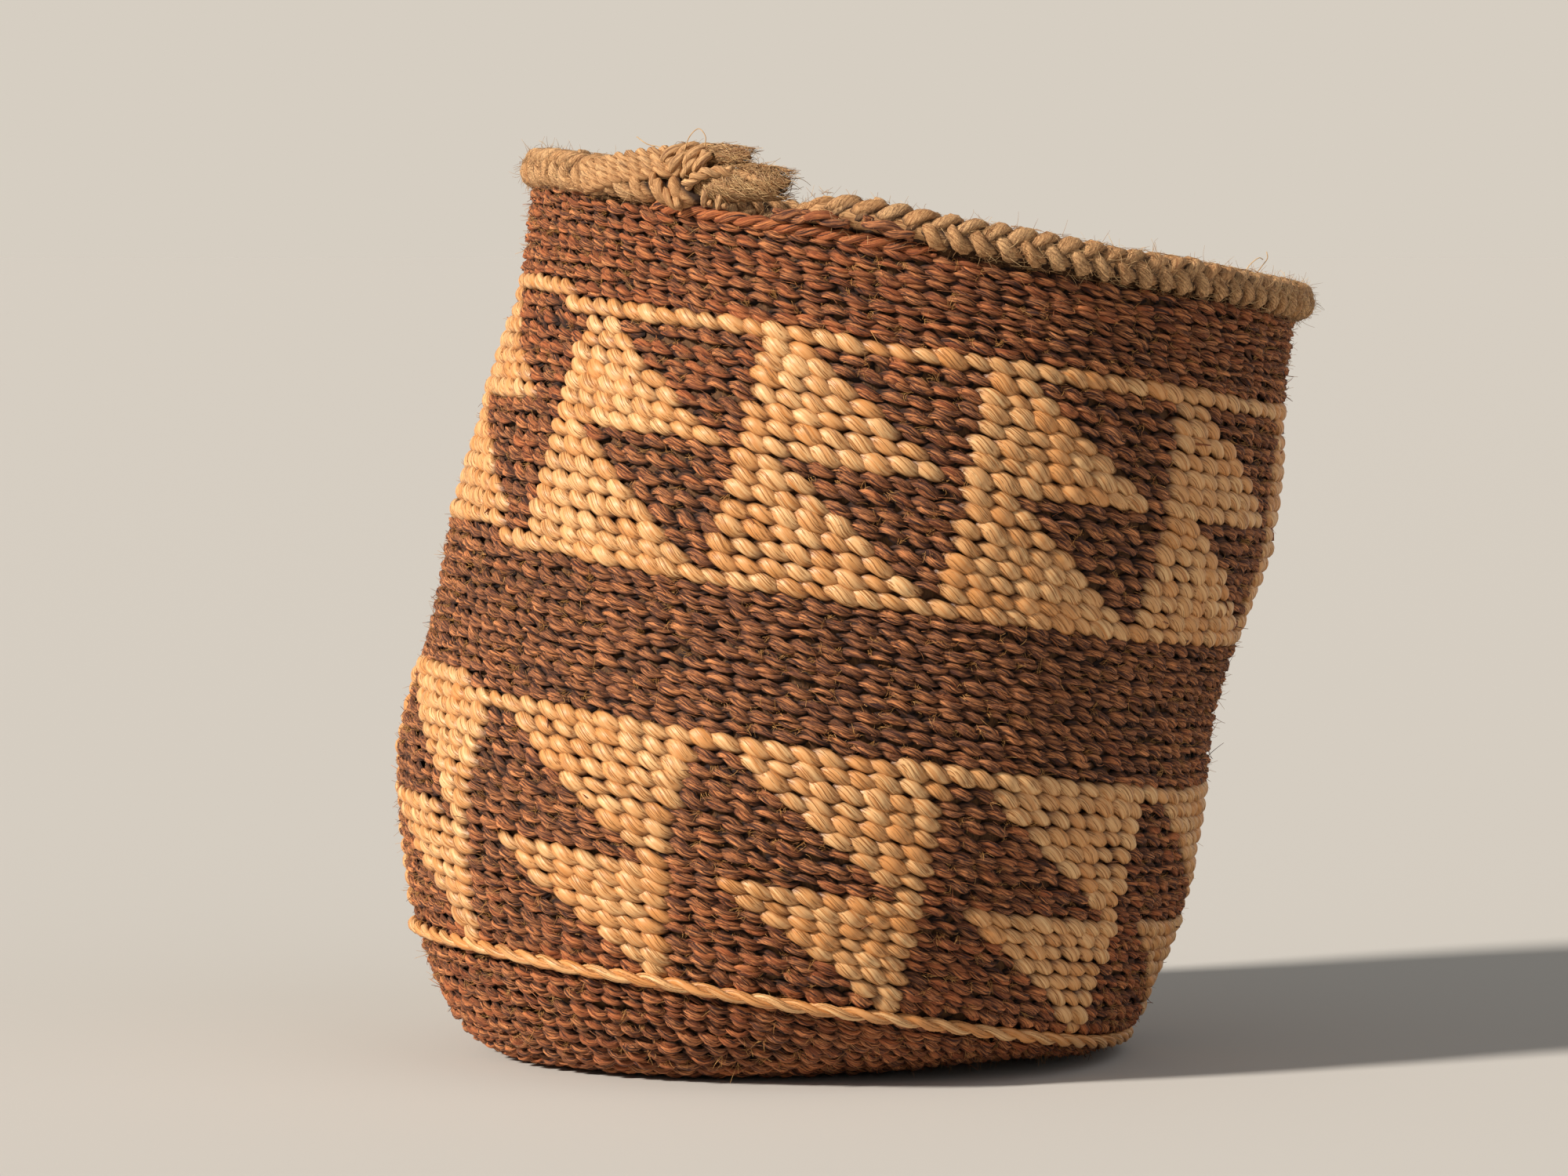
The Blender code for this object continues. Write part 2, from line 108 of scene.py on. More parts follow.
def smooth_through(places, values):
    steps = np.diff(places)
    slopes = np.diff(values) / steps
    tangents = np.concatenate([slopes[:1], np.zeros(len(slopes) - 1), slopes[-1:]])
    same = slopes[:-1] * slopes[1:] > 0
    before, after = slopes[:-1][same], slopes[1:][same]
    tangents[1:-1][same] = 2 * before * after / (before + after)

    def at(place):
        above = np.minimum(place - places[0], 0)  # above the top ring the wall goes straight on
        place = place - above
        i = np.clip(np.searchsorted(places, place) - 1, 0, len(slopes) - 1)
        t = (place - places[i]) / steps[i]
        return ((2 * t**3 - 3 * t**2 + 1) * values[i] + (t**3 - 2 * t**2 + t) * steps[i] * tangents[i]
                + (3 * t**2 - 2 * t**3) * values[i + 1] + (t**3 - t**2) * steps[i] * tangents[i + 1]
                + above * tangents[0])

    return at


share_at = [smooth_through(STATIONS[:, 0], STATIONS[:, i]) for i in range(1, 6)]


def ring(course):
    radius, height, lean, tilt, lift = (share(np.asarray(course, float)) for share in share_at)
    centre = np.stack([lean * SIDE_LEAN, lean * BACK_LEAN, height * WALL_HEIGHT], -1) + HUB
    tilt, lift, none = tilt * RING_TILT, lift * RING_LIFT, 0 * tilt
    right = np.stack([np.cos(tilt), none, -np.sin(tilt)], -1)
    front = np.stack([none, -np.cos(lift), np.sin(lift)], -1)
    return centre, radius * BODY_RADIUS, right, front


def turned(turn, first, second):
    """The direction that is turned this far from the first direction towards the second."""
    return np.cos(turn)[..., None] * first + np.sin(turn)[..., None] * second


def wall(course, angle):
    """Points on the outside of the wall, in mm; the angle runs from the front to the right."""
    course, angle = np.broadcast_arrays(course, angle)
    centre, radius, right, front = ring(course)
    return centre + radius[..., None] * turned(angle, front, right)


def unit(vectors):
    return vectors / np.maximum(np.linalg.norm(vectors, axis=-1, keepdims=True), 1e-9)


def sideways(out, line):
    """The direction square to out and to a strand's line."""
    return unit(np.cross(out, unit(np.gradient(line, axis=-2))))


def outward(course, angle):
    up = wall(course - 0.25, angle) - wall(course + 0.25, angle)
    along = wall(course, angle + 0.01) - wall(course, angle - 0.01)
    return unit(np.cross(along, up))


def course_height(course):
    course = np.asarray(course, float)
    lower, upper = course + 0.5, np.maximum(course - 0.5, 0)
    return np.linalg.norm(wall(lower, 0.4) - wall(upper, 0.4), axis=-1) / (lower - upper)


print("course height in mm:", np.round(course_height([3, 20, 40, 52, 58, 66]), 2))

# %% [markdown]
# ## Hand-made unevenness
# Nobody beats a weft down perfectly level. A few slow waves push the courses up and down by a
# tenth of a course and the wall in and out by a third of a millimetre. Neighbouring stitches
# move together, so the rows wander and never collide.

# %% Slow waves in the wall


def wander(course, angle):
    return (0.10 * np.sin(2 * angle + 0.31 * course + 1.3) + 0.06 * np.sin(5 * angle - 0.7 * course)
            + 0.04 * np.sin(11 * angle + 1.9 * course + 0.5))


def dent(course, angle):
    return 0.28 * np.sin(3 * angle + 0.23 * course) + 0.16 * np.sin(7 * angle - 0.41 * course + 2)


def in_wall(course, angle, depth):
    """A place this many mm out of the wall's face (less than nothing is inside it)."""
    fade = np.clip((60 - course) / 6, 0, 1)
    course = course + fade * wander(course, angle)
    depth = depth + fade * dent(course, angle)
    facing = outward(course, angle)
    return wall(course, angle) + facing * depth[..., None], facing


# %% [markdown]
# ## One closed strand
# Every fibre, stitch and cord is a tube along a line: rows of points round the line and one
# point at each end. It could be a curve with a bevel, but thousands of those are slow, so one
# function makes the points of many strands at once. It also keeps four things for later: the
# place along and round each strand in millimetres, which the fibre patterns follow; how far it
# stands out of the wall's face, for the dust and the painted shade in the grooves; two random
# lots for each strand, which change its colour; and a rectangle of the texture for each.

# %% Skin of many strands
chance = np.random.default_rng(446)


def skin(line, out, wide, thick, around, twist=0.0, lumps=0.06, tone=None, lift=None, pleats=0.0):
    """Strands along line (n, steps, 3); wide and thick are half the section, in mm.

    lift is how far the line stands out of the wall's face, for the dust and painted shade in the
    grooves, and pleats is the depth of six folds that run along the strand, as a share of its
    thickness."""
    n, steps, _ = line.shape
    along = unit(np.gradient(line, axis=1))
    side = unit(np.cross(out, along))
    top = np.cross(along, side)
    wide, thick = np.broadcast_to(wide, (n, steps)), np.broadcast_to(thick, (n, steps))
    turn = TURN * np.arange(around) / around
    start = chance.uniform(0, TURN, (3, n, 1, 1))
    travel = np.linspace(0, 1, steps)[None, :, None]
    strides = np.linalg.norm(np.diff(line, axis=1), axis=-1)
    run = np.concatenate([np.zeros((n, 1)), np.cumsum(strides, 1)], 1)
    uneven = 1 + lumps * (np.cos(2 * turn + start[0] + 2 * travel)
                          + np.cos(3 * turn + start[1] - 3 * travel))
    uneven = uneven + pleats * np.cos(6 * (turn + twist * run[..., None]) + start[1])
    flat = (wide[..., None] * np.cos(turn) * uneven)[..., None] * side[:, :, None]
    high = (thick[..., None] * np.sin(turn) * uneven)[..., None] * top[:, :, None]
    rows = line[:, :, None] + flat + high
    tips = np.stack([line[:, 0] - along[:, 0] * wide[:, :1] * 0.5,
                     line[:, -1] + along[:, -1] * wide[:, -1:] * 0.5], 1)
    points = np.concatenate([rows.reshape(n, -1, 3), tips], 1)
    proud = np.ones((n, steps * around + 2))
    if lift is not None:
        above = lift[..., None] + np.sum((flat + high) * out[:, :, None], -1)
        proud = np.concatenate([above.reshape(n, -1), lift[:, [0, -1]]], 1)

    spin = turn + twist * run[..., None] + start[2]
    girth = ((wide + thick) / 2)[..., None]
    place = np.stack([run[..., None] + 0 * spin, girth * np.cos(spin), girth * np.sin(spin)], -1)
    ends = np.stack([run[:, [0, -1]], np.zeros((n, 2)), np.zeros((n, 2))], -1)
    fibre = np.concatenate([place.reshape(n, -1, 3), ends], 1)
    fibre[..., 1:] += chance.uniform(-40, 40, (n, 1, 2))
    tone = chance.random(n) if tone is None else tone
    lot = np.stack([tone, chance.random(n), np.zeros(n)], -1)[:, None].repeat(points.shape[1], 1)

    i, k = np.meshgrid(np.arange(steps - 1), np.arange(around), indexing="ij")
    i, k = i.ravel(), k.ravel()
    after = (k + 1) % around
    near, far = i * around, (i + 1) * around
    quads = np.stack([near + k, near + after, far + after, far + k], 1)
    quad_uv = np.stack([np.stack([i, i, i + 1, i + 1], 1) / (steps - 1) * 0.9 + 0.05,
                        np.stack([k, k + 1, k + 1, k], 1) / around], -1)
    k = np.arange(around)
    after, last, tip = (k + 1) % around, (steps - 1) * around, 0 * k + steps * around
    tris = np.concatenate([np.stack([after, k, tip], 1), np.stack([last + k, last + after, tip + 1], 1)])
    low, high = 0 * k + 0.05, 0 * k + 0.95
    tri_u = [np.stack([low, low, low - 0.05], 1), np.stack([high, high, high + 0.05], 1)]
    tri_v = [np.stack([k + 1, k, k + 0.5], 1), np.stack([k, k + 1, k + 0.5], 1)]
    tri_uv = np.stack([np.concatenate(tri_u), np.concatenate(tri_v) / around], -1)
    return {"points": points, "fibre": fibre, "lot": lot, "proud": proud,
            "quads": quads, "tris": tris, "quad_uv": quad_uv, "tri_uv": tri_uv}


OF_EACH_POINT = ("points", "fibre", "lot", "proud")


def chosen(strands, keep):
    return {**strands, **{key: strands[key][keep] for key in OF_EACH_POINT}}


def face_count(strands):
    return len(strands["points"]) * (2 * len(strands["quads"]) + len(strands["tris"]))


# %% Strands become one piece
made = {}


def piece(name, batches, material, slot, *nodes):
    """One mesh from batches of strands, riding on the bag and standing for its CAD nodes."""
    batches = [b for b in batches if len(b["points"])]
    total = sum(len(b["points"]) for b in batches)
    columns = math.ceil(math.sqrt(total))
    lines = math.ceil(total / columns)
    points, fibre, lot, proud = (np.concatenate([b[key].ravel() for b in batches])
                                 for key in OF_EACH_POINT)
    loops, starts, uvs = [], [], []
    vertex = corner = tile = 0
    for b in batches:
        n, per = b["points"].shape[:2]
        offset = vertex + per * np.arange(n)[:, None, None]
        place = tile + np.arange(n)
        corner_of = np.stack([place % columns, place // columns], 1)[:, None, None]
        for faces, uv in ((b["quads"], b["quad_uv"]), (b["tris"], b["tri_uv"])):
            index = (faces[None] + offset).reshape(-1, faces.shape[1])
            loops.append(index.ravel())
            starts.append(corner + faces.shape[1] * np.arange(len(index)))
            corner += index.size
            uvs.append(((corner_of + 0.04 + 0.92 * uv[None]) / (columns, lines)).reshape(-1, 2))
        vertex += n * per
        tile += n
    mesh = bpy.data.meshes.new(name)
    loops, starts = np.concatenate(loops), np.concatenate(starts)
    mesh.vertices.add(len(proud))
    mesh.vertices.foreach_set("co", points * MM)
    mesh.loops.add(len(loops))
    mesh.loops.foreach_set("vertex_index", loops.astype(np.int32))
    mesh.polygons.add(len(starts))
    mesh.polygons.foreach_set("loop_start", starts.astype(np.int32))
    mesh.update(calc_edges=True)
    mesh.validate()
    mesh.uv_layers.new(name="OFBake").data.foreach_set("uv", np.concatenate(uvs).ravel())
    for key, kind, field, values in (("fibre", "FLOAT_VECTOR", "vector", fibre),
                                     ("lot", "FLOAT_VECTOR", "vector", lot),
                                     ("proud", "FLOAT", "value", proud)):
        mesh.attributes.new(key, kind, "POINT").data.foreach_set(field, values.astype(np.float32))
    mesh.shade_smooth()
    mesh.materials.append(material)
    thing = put(name, mesh)
    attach(thing, "root")
    if nodes:
        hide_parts(*nodes)
    made[name] = len(mesh.loops) - 2 * len(mesh.polygons)
    print(f"{name}: {total} strands, {made[name]} faces")


# %% [markdown]
# ## Finishes
# Every finish here is dry plant fibre, so each is rough, not metallic, with the index of
# refraction of about 1.5 that wood and straw have. What tells them apart is the colour, how
# fine the fibres are and how much they shine. Each pattern reads the place along and round
# the strand, so its grain runs with the fibre and turns with the twist. Colours are laid over
# one another as a dyer does it, and the last layer darkens the grooves of the wall: partly
# dust, partly painted shade.

# %% Colours and one node at a time
FIBRE_IOR = 1.5


def linear(hex_colour):
    parts = [int(hex_colour[i:i + 2], 16) / 255 for i in (0, 2, 4)]
    return [c / 12.92 if c <= 0.04045 else ((c + 0.055) / 1.055) ** 2.4 for c in parts] + [1]


def add(tree, kind, inputs=None, **settings):
    """Adds one node with its settings; an input is a value, or the socket it is linked to."""
    node = tree.nodes.new("ShaderNode" + kind)
    for key, value in settings.items():
        setattr(node, key, value)
    for key, value in (inputs or {}).items():
        if isinstance(value, bpy.types.NodeSocket):
            tree.links.new(value, node.inputs[key])
        else:
            node.inputs[key].default_value = value
    return node


def new_finish(name, roughness):
    finish = bpy.data.materials.new(name)
    finish.use_nodes = True
    shader = finish.node_tree.nodes["Principled BSDF"]
    shader.inputs["Roughness"].default_value = roughness
    shader.inputs["IOR"].default_value = FIBRE_IOR
    return finish, finish.node_tree, shader


# %% What all fibres share


def strand_facts(tree):
    """The place on the strand in mm, how far it stands out, and the strand's two random lots."""
    place, lot, proud = (add(tree, "Attribute", attribute_name=key)
                         for key in ("fibre", "lot", "proud"))
    lots = add(tree, "SeparateXYZ", {"Vector": lot.outputs["Vector"]})
    return place.outputs["Vector"], proud.outputs["Fac"], lots.outputs["X"], lots.outputs["Y"]


def grain(tree, place, along, across, **noise):
    """A pattern drawn out along the strand, this many times to a mm along and across it."""
    stretched = add(tree, "Mapping", {"Vector": place, "Scale": (along, across, across)})
    return add(tree, "TexNoise", {"Vector": stretched.outputs["Vector"], **noise}).outputs["Fac"]


def lay_over(tree, colour, *layers):
    """Each layer: the value it follows, that value's range, how much at its two ends, the colour."""
    for value, (low, high), (at_low, at_high), hex_colour in layers:
        much = add(tree, "MapRange", {"Value": value, "From Min": low, "From Max": high,
                                      "To Min": at_low, "To Max": at_high}).outputs["Result"]
        colour = add(tree, "Mix", {"Factor": much, "A": colour, "B": linear(hex_colour)},
                     data_type="RGBA").outputs["Result"]
    return colour


def dust_shade_and_relief(tree, shader, colour, proud, deepest, clean_and_lit, dust_and_shade, height, strength, relief):
    """Dust and painted shade from the deepest groove (mm out of the wall's face) to where it is clean and
    lit, and relief in mm.
    """
    # The grooves darken towards their bottom: partly dust, partly painted shade in the wall's hollows.
    out_of_dust_and_shade = add(tree, "MapRange", {"Value": proud, "From Min": deepest, "From Max": clean_and_lit},
                interpolation_type="SMOOTHSTEP")
    dust_and_shade_mix = add(tree, "Mix", {"Factor": out_of_dust_and_shade.outputs["Result"], "A": linear(dust_and_shade), "B": colour},
                data_type="RGBA")
    tree.links.new(dust_and_shade_mix.outputs["Result"], shader.inputs["Base Color"])
    bump = add(tree, "Bump", {"Height": height, "Strength": strength, "Distance": relief * MM})
    tree.links.new(bump.outputs["Normal"], shader.inputs["Normal"])


# %% [markdown]
# ### Split husk
# The pale weft is corn husk or split grass: a dried leaf strip, twisted as it is twined. Its
# skin is smooth, so it has a soft satin light along each stitch, with fine dark creases where
# the strip folds. Creases are about 0.1 mm apart. They are drawn twice as coarse, and the ribs
# between them at 0.4 mm, so that they show.

# %% Husk finish
husk, tree, shader = new_finish("dried_husk", 0.46)
place, proud, first_lot, _ = strand_facts(tree)
ribs = grain(tree, place, 0.10, 2.6, Scale=1.0, Detail=3.0, Roughness=0.6)
threads = grain(tree, place, 0.12, 4.6, Scale=1.2, Detail=2.0, Roughness=0.5)
creases = add(tree, "MapRange", {"Value": threads, "From Min": 0.35, "From Max": 0.44}).outputs["Result"]
patches = add(tree, "TexNoise", {"Vector": place, "Scale": 0.35, "Detail": 1.0}).outputs["Fac"]
colour = lay_over(tree, linear("BA783A"),
                  (ribs, (0.30, 0.68), (0, 1), "EDC289"),
                  (first_lot, (0.35, 1), (0, 0.65), "D08844"),  # some strips are more golden
                  (patches, (0.58, 0.75), (0, 0.4), "B3762F"),  # stains
                  (creases, (0, 1), (1, 0), "9C642F"))
height = add(tree, "Math", {0: ribs, 1: creases}, operation="ADD")
# Grooves between pale stitches: dark brown, partly dust and partly painted shade.
dust_shade_and_relief(tree, shader, colour, proud, -1.25, 0.05, "4A260C", height.outputs[0], 0.7, 0.14)

# %% [markdown]
# ### Dyed bark
# The dark weft is twisted bark or hemp fibre, stained brown: rusty near the rim and the heel,
# purplish in the middle. It is matte and splintery: coarse ribs, black gaps and here and there
# a fibre that took less stain. Its fibres are about 0.1 mm thick, and drawn at 0.3 mm to show.

# %% Bark finish
bark, tree, shader = new_finish("dyed_bark", 0.8)
place, proud, first_lot, second_lot = strand_facts(tree)
ribs = grain(tree, place, 0.22, 3.3, Scale=1.0, Detail=4.0, Roughness=0.7)
bare = grain(tree, place, 0.22, 3.3, Scale=2.1, Detail=1.0)
threads = grain(tree, place, 0.18, 4.0, Scale=1.0, Detail=2.0)
colour = lay_over(tree, linear("3C1608"),
                  (ribs, (0.41, 0.64), (0, 1), "FFAA6A"),
                  (first_lot, (0.1, 0.55), (0.62, 0), "B25C2C"),  # rusty
                  (first_lot, (0.45, 1), (0, 0.5), "7C4A36"),  # purplish
                  (second_lot, (0.45, 1), (0, 0.45), "4A2212"),  # deeper stain
                  (bare, (0.60, 0.70), (0, 0.75), "D0824A"),
                  (threads, (0.36, 0.46), (1, 0), "34130A"))  # gaps between fibres
# Grooves between dark stitches and plies: near black, partly dust and partly painted shade.
dust_shade_and_relief(tree, shader, colour, proud, -1.6, -0.2, "220C04", ribs, 1.0, 0.5)

# %% [markdown]
# ### Jute and its loose fibres
# The rim and knot are two-ply jute: long hairy fibres, golden grey, spun and plied. The
# fibres are about 0.05 mm, and the grain is drawn some five times as coarse. The same nodes
# with other colours give the warps, dark brown as painted shade for the gaps they show
# through, and the loose hairs, which catch the light.

# %% Jute finishes


def jute_finish(name, deep, light, worn, dust_and_shade, roughness, relief, most_worn=0.45):
    finish, tree, shader = new_finish(name, roughness)
    place, proud, first_lot, _ = strand_facts(tree)
    fibres = grain(tree, place, 0.22, 3.4, Scale=1.2, Detail=4.0, Roughness=0.7)
    colour = lay_over(tree, linear(deep),
                      (fibres, (0.34, 0.64), (0, 1), light),
                      (first_lot, (0, 1), (0, most_worn), worn))
    # Grooves between plies and lobes: dark brown, partly dust and partly painted shade.
    dust_shade_and_relief(tree, shader, colour, proud, -1.15, -0.05, dust_and_shade, fibres, 0.9, relief)
    return finish


jute = jute_finish("spun_jute", "5C3010", "F6C68C", "A86C32", "341E0C", 0.7, 0.35)
# The warps' dark browns are painted shade for the gaps between stitches; their golden jute shows in the
# tufts.
warp = jute_finish("warp_bundles", "35200F", "7A522C", "5A3A1E", "2A180A", 0.8, 0.2)
warp_hair = jute_finish("warp_hairs", "8A5626", "E8B46C", "A87038", "5A3418", 0.6, 0.05)
loose_fibre = jute_finish("loose_fibres", "8A5424", "FFDCA0", "7A4A20", "5A3618", 0.5, 0.05, 0.9)
print("finishes:", [finish.name for finish in (husk, bark, jute, warp, warp_hair, loose_fibre)])

# %% [markdown]
# ## Where every stitch is
# Twining makes one stitch over each warp: a hundred to a turn. The weft climbs one course a
# turn, so the courses are a helix, with a step in the pattern at the seam on the left. On the
# base the turns are shorter, so they have fewer stitches.

# %% The stitch table
SEAM = math.radians(-60)
FRONT = 1 / 6  # the front is a sixth of a turn past the seam
STITCHES = 100  # to a turn, down to this course; from there on a stitch is this many mm long
SHORT_TURNS, BASE_STITCH = 55, 3.6
COURSES = {
    "top_courses": (0, 7), "upper_band_high": (7, 15), "upper_band_low": (15, 23),
    "middle_courses": (23, 33), "lower_band_high": (33, 42), "lower_band_low": (42, 50),
    "heel_courses": (50, 60), "base_courses_outer": (60, 68), "base_courses_inner": (68, 74),
}


def stitch_table():
    rows = []
    for course in range(COURSES["base_courses_inner"][1]):
        radius = float(ring(course + 0.5)[1])
        count = STITCHES if course < SHORT_TURNS else round(TURN * radius / BASE_STITCH)
        j = np.arange(count)
        share = (j + 0.5) / count
        rows.append(np.stack([0 * j + course, j, SEAM + TURN * share,
                              course + 0.5 + FRONT - share, 0 * j + TURN / count], 1))
    return np.concatenate(rows)


stitches = stitch_table()
number, index, angle, course, pitch = stitches.T
print("stitches on one face of the bag:", len(stitches))

# %% [markdown]
# ## The pattern
# Two bands of stepped triangles, a plain traditional pattern. In the upper band each step is
# one stitch wider than the one above, with the upright side on the left. In the lower band
# the steps get narrower downwards, with the upright side on the right. Two pale lines edge
# the upper band and one tops the lower band. Inside the bag the two wefts change places.

# %% Which stitches are pale
UPPER_TOP, UPPER_REPEAT, UPPER_STEPS = 8, 9, 7  # first course, stitches to a triangle, its steps
LOWER_TOP, LOWER_REPEAT, LOWER_STEPS = 34, 10, 8
PALE_LINES = (7, 22, 33)


def pale_outside(number, index):
    """Each band is two rows of triangles, one above the other."""
    row = number - UPPER_TOP
    upper = (row >= 0) & (row < 2 * UPPER_STEPS) & (index >= 2)
    upper = upper & ((index - 2) % UPPER_REPEAT < 2 + row % UPPER_STEPS)
    row = number - LOWER_TOP
    lower = (row >= 0) & (row < 2 * LOWER_STEPS) & ((1 - index) % LOWER_REPEAT < 8 - row % LOWER_STEPS)
    return upper | lower | np.isin(number, PALE_LINES)


banded = ((number >= 7) & (number < 23)) | ((number >= 33) & (number < 50))
pale = pale_outside(number, index)
pale_inside = banded & ~pale
print("pale stitches outside:", pale.sum(), "inside:", pale_inside.sum())

# %% [markdown]
# ## Laying a stitch
# The two wefts turn round each other like the plies of a rope. Outside, a strand comes out
# between two warps at the upper left, swells over the warp and goes back in at the lower
# right. Inside, the other strand does the same the other way up.

# %% Stitch lines
TUCK = 0.3  # how far a stitch runs on under its neighbours at each end, in stitches
slip = chance.normal(0, 1, (4, len(stitches)))


def stitch_lines(keep, steps, face, lean, swell, mid):
    """Lines (n, steps, 3) of the kept stitches on the outside (1) or the inside (-1)."""
    s = np.linspace(-TUCK, 1 + TUCK, steps)[None]
    tilt = lean * (1 + 0.15 * slip[0, keep][:, None])
    shift = 0.13 * np.sin(2.4 * course[keep] + 2 * angle[keep]) + 0.05 * slip[1, keep]
    along = angle[keep][:, None] + pitch[keep][:, None] * (s - 0.5 + shift[:, None])
    level = course[keep][:, None] - face * tilt * np.cos(np.pi * s) + 0.03 * slip[2, keep][:, None]
    lift = mid + swell * np.sin(np.pi * s) + 0.08 * slip[3, keep][:, None]
    depth = lift if face > 0 else -WALL_THICKNESS - lift
    line, facing = in_wall(level, along, depth)
    return line, face * facing, s, lift


def swelling(s, fullest, tip):
    """How full a stitch is along its way: round at the upper left, drawn out at its end."""
    length = 1 + 2 * TUCK
    skew = np.clip((s + TUCK) / length, 0, 1) ** (math.log(0.5) / math.log((fullest + TUCK) / length))
    return tip + (1 - tip) * np.sin(np.pi * skew) ** 0.8


# %% [markdown]
# ## Pale stitches
# Each pale stitch is one plump twisted strip, so it is one strand with a smooth skin. It is
# a little taller than its course, and presses on its neighbours.

# %% Pale stitches


def pale_stitches(keep, face):
    keep = np.flatnonzero(keep)
    tall = course_height(course[keep])[:, None]
    size = 1 + 0.09 * chance.normal(0, 1, (len(keep), 1))
    steps, around, pleats = (14, 16, 0.03) if face > 0 else (10, 8, 0)
    line, facing, s, lift = stitch_lines(keep, steps, face, lean=0.19, swell=0.56, mid=-1.24)
    full = swelling(s, fullest=0.42, tip=0.56) * size
    return skin(line, facing, 0.515 * tall * full, full, around, twist=-0.42, lumps=0.045, lift=lift,
                pleats=pleats)


# %% [markdown]
# ## Dark stitches
# Bark doesn't lie as one smooth strip: each stitch shows two to four coarse strands that turn
# loosely round each other, with dark gaps between them. The stain differs from stitch to
# stitch, and in slow steps over the height: rusty at the rim and heel, purplish between.

# %% Dark stitches


def dark_stitches(keep, face):
    keep = np.flatnonzero(keep)
    shares = (1, 1, 0.85, 0.45) if face > 0 else (1, 1)  # how many of the stitches have each ply
    steps, around, wide, apart = (8, 6, 0.225, 0.56) if face > 0 else (7, 5, 0.27, 0.43)
    batches = []
    for ply, share in enumerate(shares):
        some = keep[chance.random(len(keep)) < share]
        each = (len(some), 1)
        tall = course_height(course[some])[:, None]
        line, facing, s, lift = stitch_lines(some, steps, face, lean=0.22, swell=0.66, mid=-1.50)
        side = sideways(facing, line)
        plump = swelling(s, fullest=0.46, tip=0.6)
        roll = TURN * ply / len(shares) - 1.9 * s + chance.normal(0.4, 0.35, each)
        loose = apart * (1 + 0.15 * chance.normal(0, 1, each)) * plump
        over = 0.9 * loose * np.sin(roll)
        line = line + (loose * np.cos(roll))[..., None] * side + over[..., None] * facing
        full = plump * (1 + 0.14 * chance.normal(0, 1, each))
        purple = 0.5 + 0.5 * np.cos((course[some] - 26 + 8 * np.sin(angle[some])) / 26 * np.pi)
        batches.append(skin(line, facing, wide * tall * full, 0.44 * full, around, twist=-0.5, lumps=0.16,
                            tone=0.45 * purple + 0.55 * chance.random(len(some)), lift=lift + over))
    return batches


# %% Bands of stitches
MOST_FACES = 190_000  # most faces in one piece; a band with more is cut into several pieces


def in_pieces(name, batches, material, slot, node):
    parts = max(1, math.ceil(sum(face_count(b) for b in batches) / MOST_FACES))
    for part in range(parts):
        some = []
        for batch in batches:
            n = len(batch["points"])
            some.append(chosen(batch, slice(n * part // parts, n * (part + 1) // parts)))
        piece(f"{name}_{part + 1}" if parts > 1 else name, some, material, slot, node)


for node, (first, last) in COURSES.items():
    here = (number >= first) & (number < last)
    in_pieces(f"{node}_bark", dark_stitches(here & ~pale, 1), bark, "bark", node)
    in_pieces(f"{node}_bark_lining", dark_stitches(here & ~pale_inside, -1), bark, "bark", node)
    if pale[here].any():
        in_pieces(f"{node}_husk", [pale_stitches(here & pale, 1)], husk, "husk", node)
        in_pieces(f"{node}_husk_lining", [pale_stitches(here & pale_inside, -1)], husk, "husk", node)
print("faces so far:", sum(made.values()))

# %% [markdown]
# ## The warps
# The warps hardly show: they are what the stitches wrap. Each is a flat bundle of fine cords,
# coloured dark brown as painted shade for the gaps it shows through, that closes the wall
# behind the stitches. They run from the base to the rim under the middle of each stitch.
# Towards the middle of the base there is no room for all, so some stop on the way, as they
# do on the real bag. At the top they are rolled into the rim, which runs all the way round
# but for a short gap at the knot.

# %% Warps
RIM_START, RIM_END = math.radians(-20), math.radians(317)


def warps(angles, last_course, steps, round_the_bag):
    bare = (angles > RIM_END - TURN) & (angles < RIM_START)
    top = np.where(bare, 0.3, -1.2)[:, None]
    courses = top + (last_course - top) * np.linspace(0, 1, steps)[None]
    sway = angles[:, None] + 0.004 * np.sin(courses * 2.1 + 40 * angles[:, None])
    line, facing = in_wall(courses, sway, 0 * courses - WALL_THICKNESS / 2)
    wide = np.minimum(2.1, 0.53 * TURN * ring(courses)[1] / round_the_bag)
    return skin(line, facing, wide, 0.55, around=8, twist=0.3)


warp_angles = SEAM + TURN * (np.arange(STITCHES) + 0.5) / STITCHES
warp_nodes = [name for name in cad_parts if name.startswith("warp_cord")]
short, middling, long = warp_angles[1::2], warp_angles[::4], warp_angles[2::4]
piece("warps", [warps(short, 60, 60, 100), warps(middling, 66.5, 66, 75), warps(long, 73.5, 74, 75)],
      warp, "warp", *warp_nodes)

# %% [markdown]
# ## The overlay cord
# Two pale plies, twisted the other way from the stitches, lie round the outside just above
# the heel. One ply is a long strand that winds round the cord's middle line.

# %% Overlay cord


def plies(line, up, out, spread, wide, lay, around=12, twist=0.6):
    """Two plies wound round a line (steps, 3).

    lay is the length of one full turn in mm, and less than nothing turns the other way."""
    run = np.concatenate([[0], np.cumsum(np.linalg.norm(np.diff(line, axis=0), axis=1))])
    turn = TURN * (run[None] / lay + np.array([[0], [0.5]]))
    offset = turned(turn, up, out)
    return skin(line + spread * offset, offset, wide, wide * 0.92, around, twist, lumps=0.05, pleats=0.06)


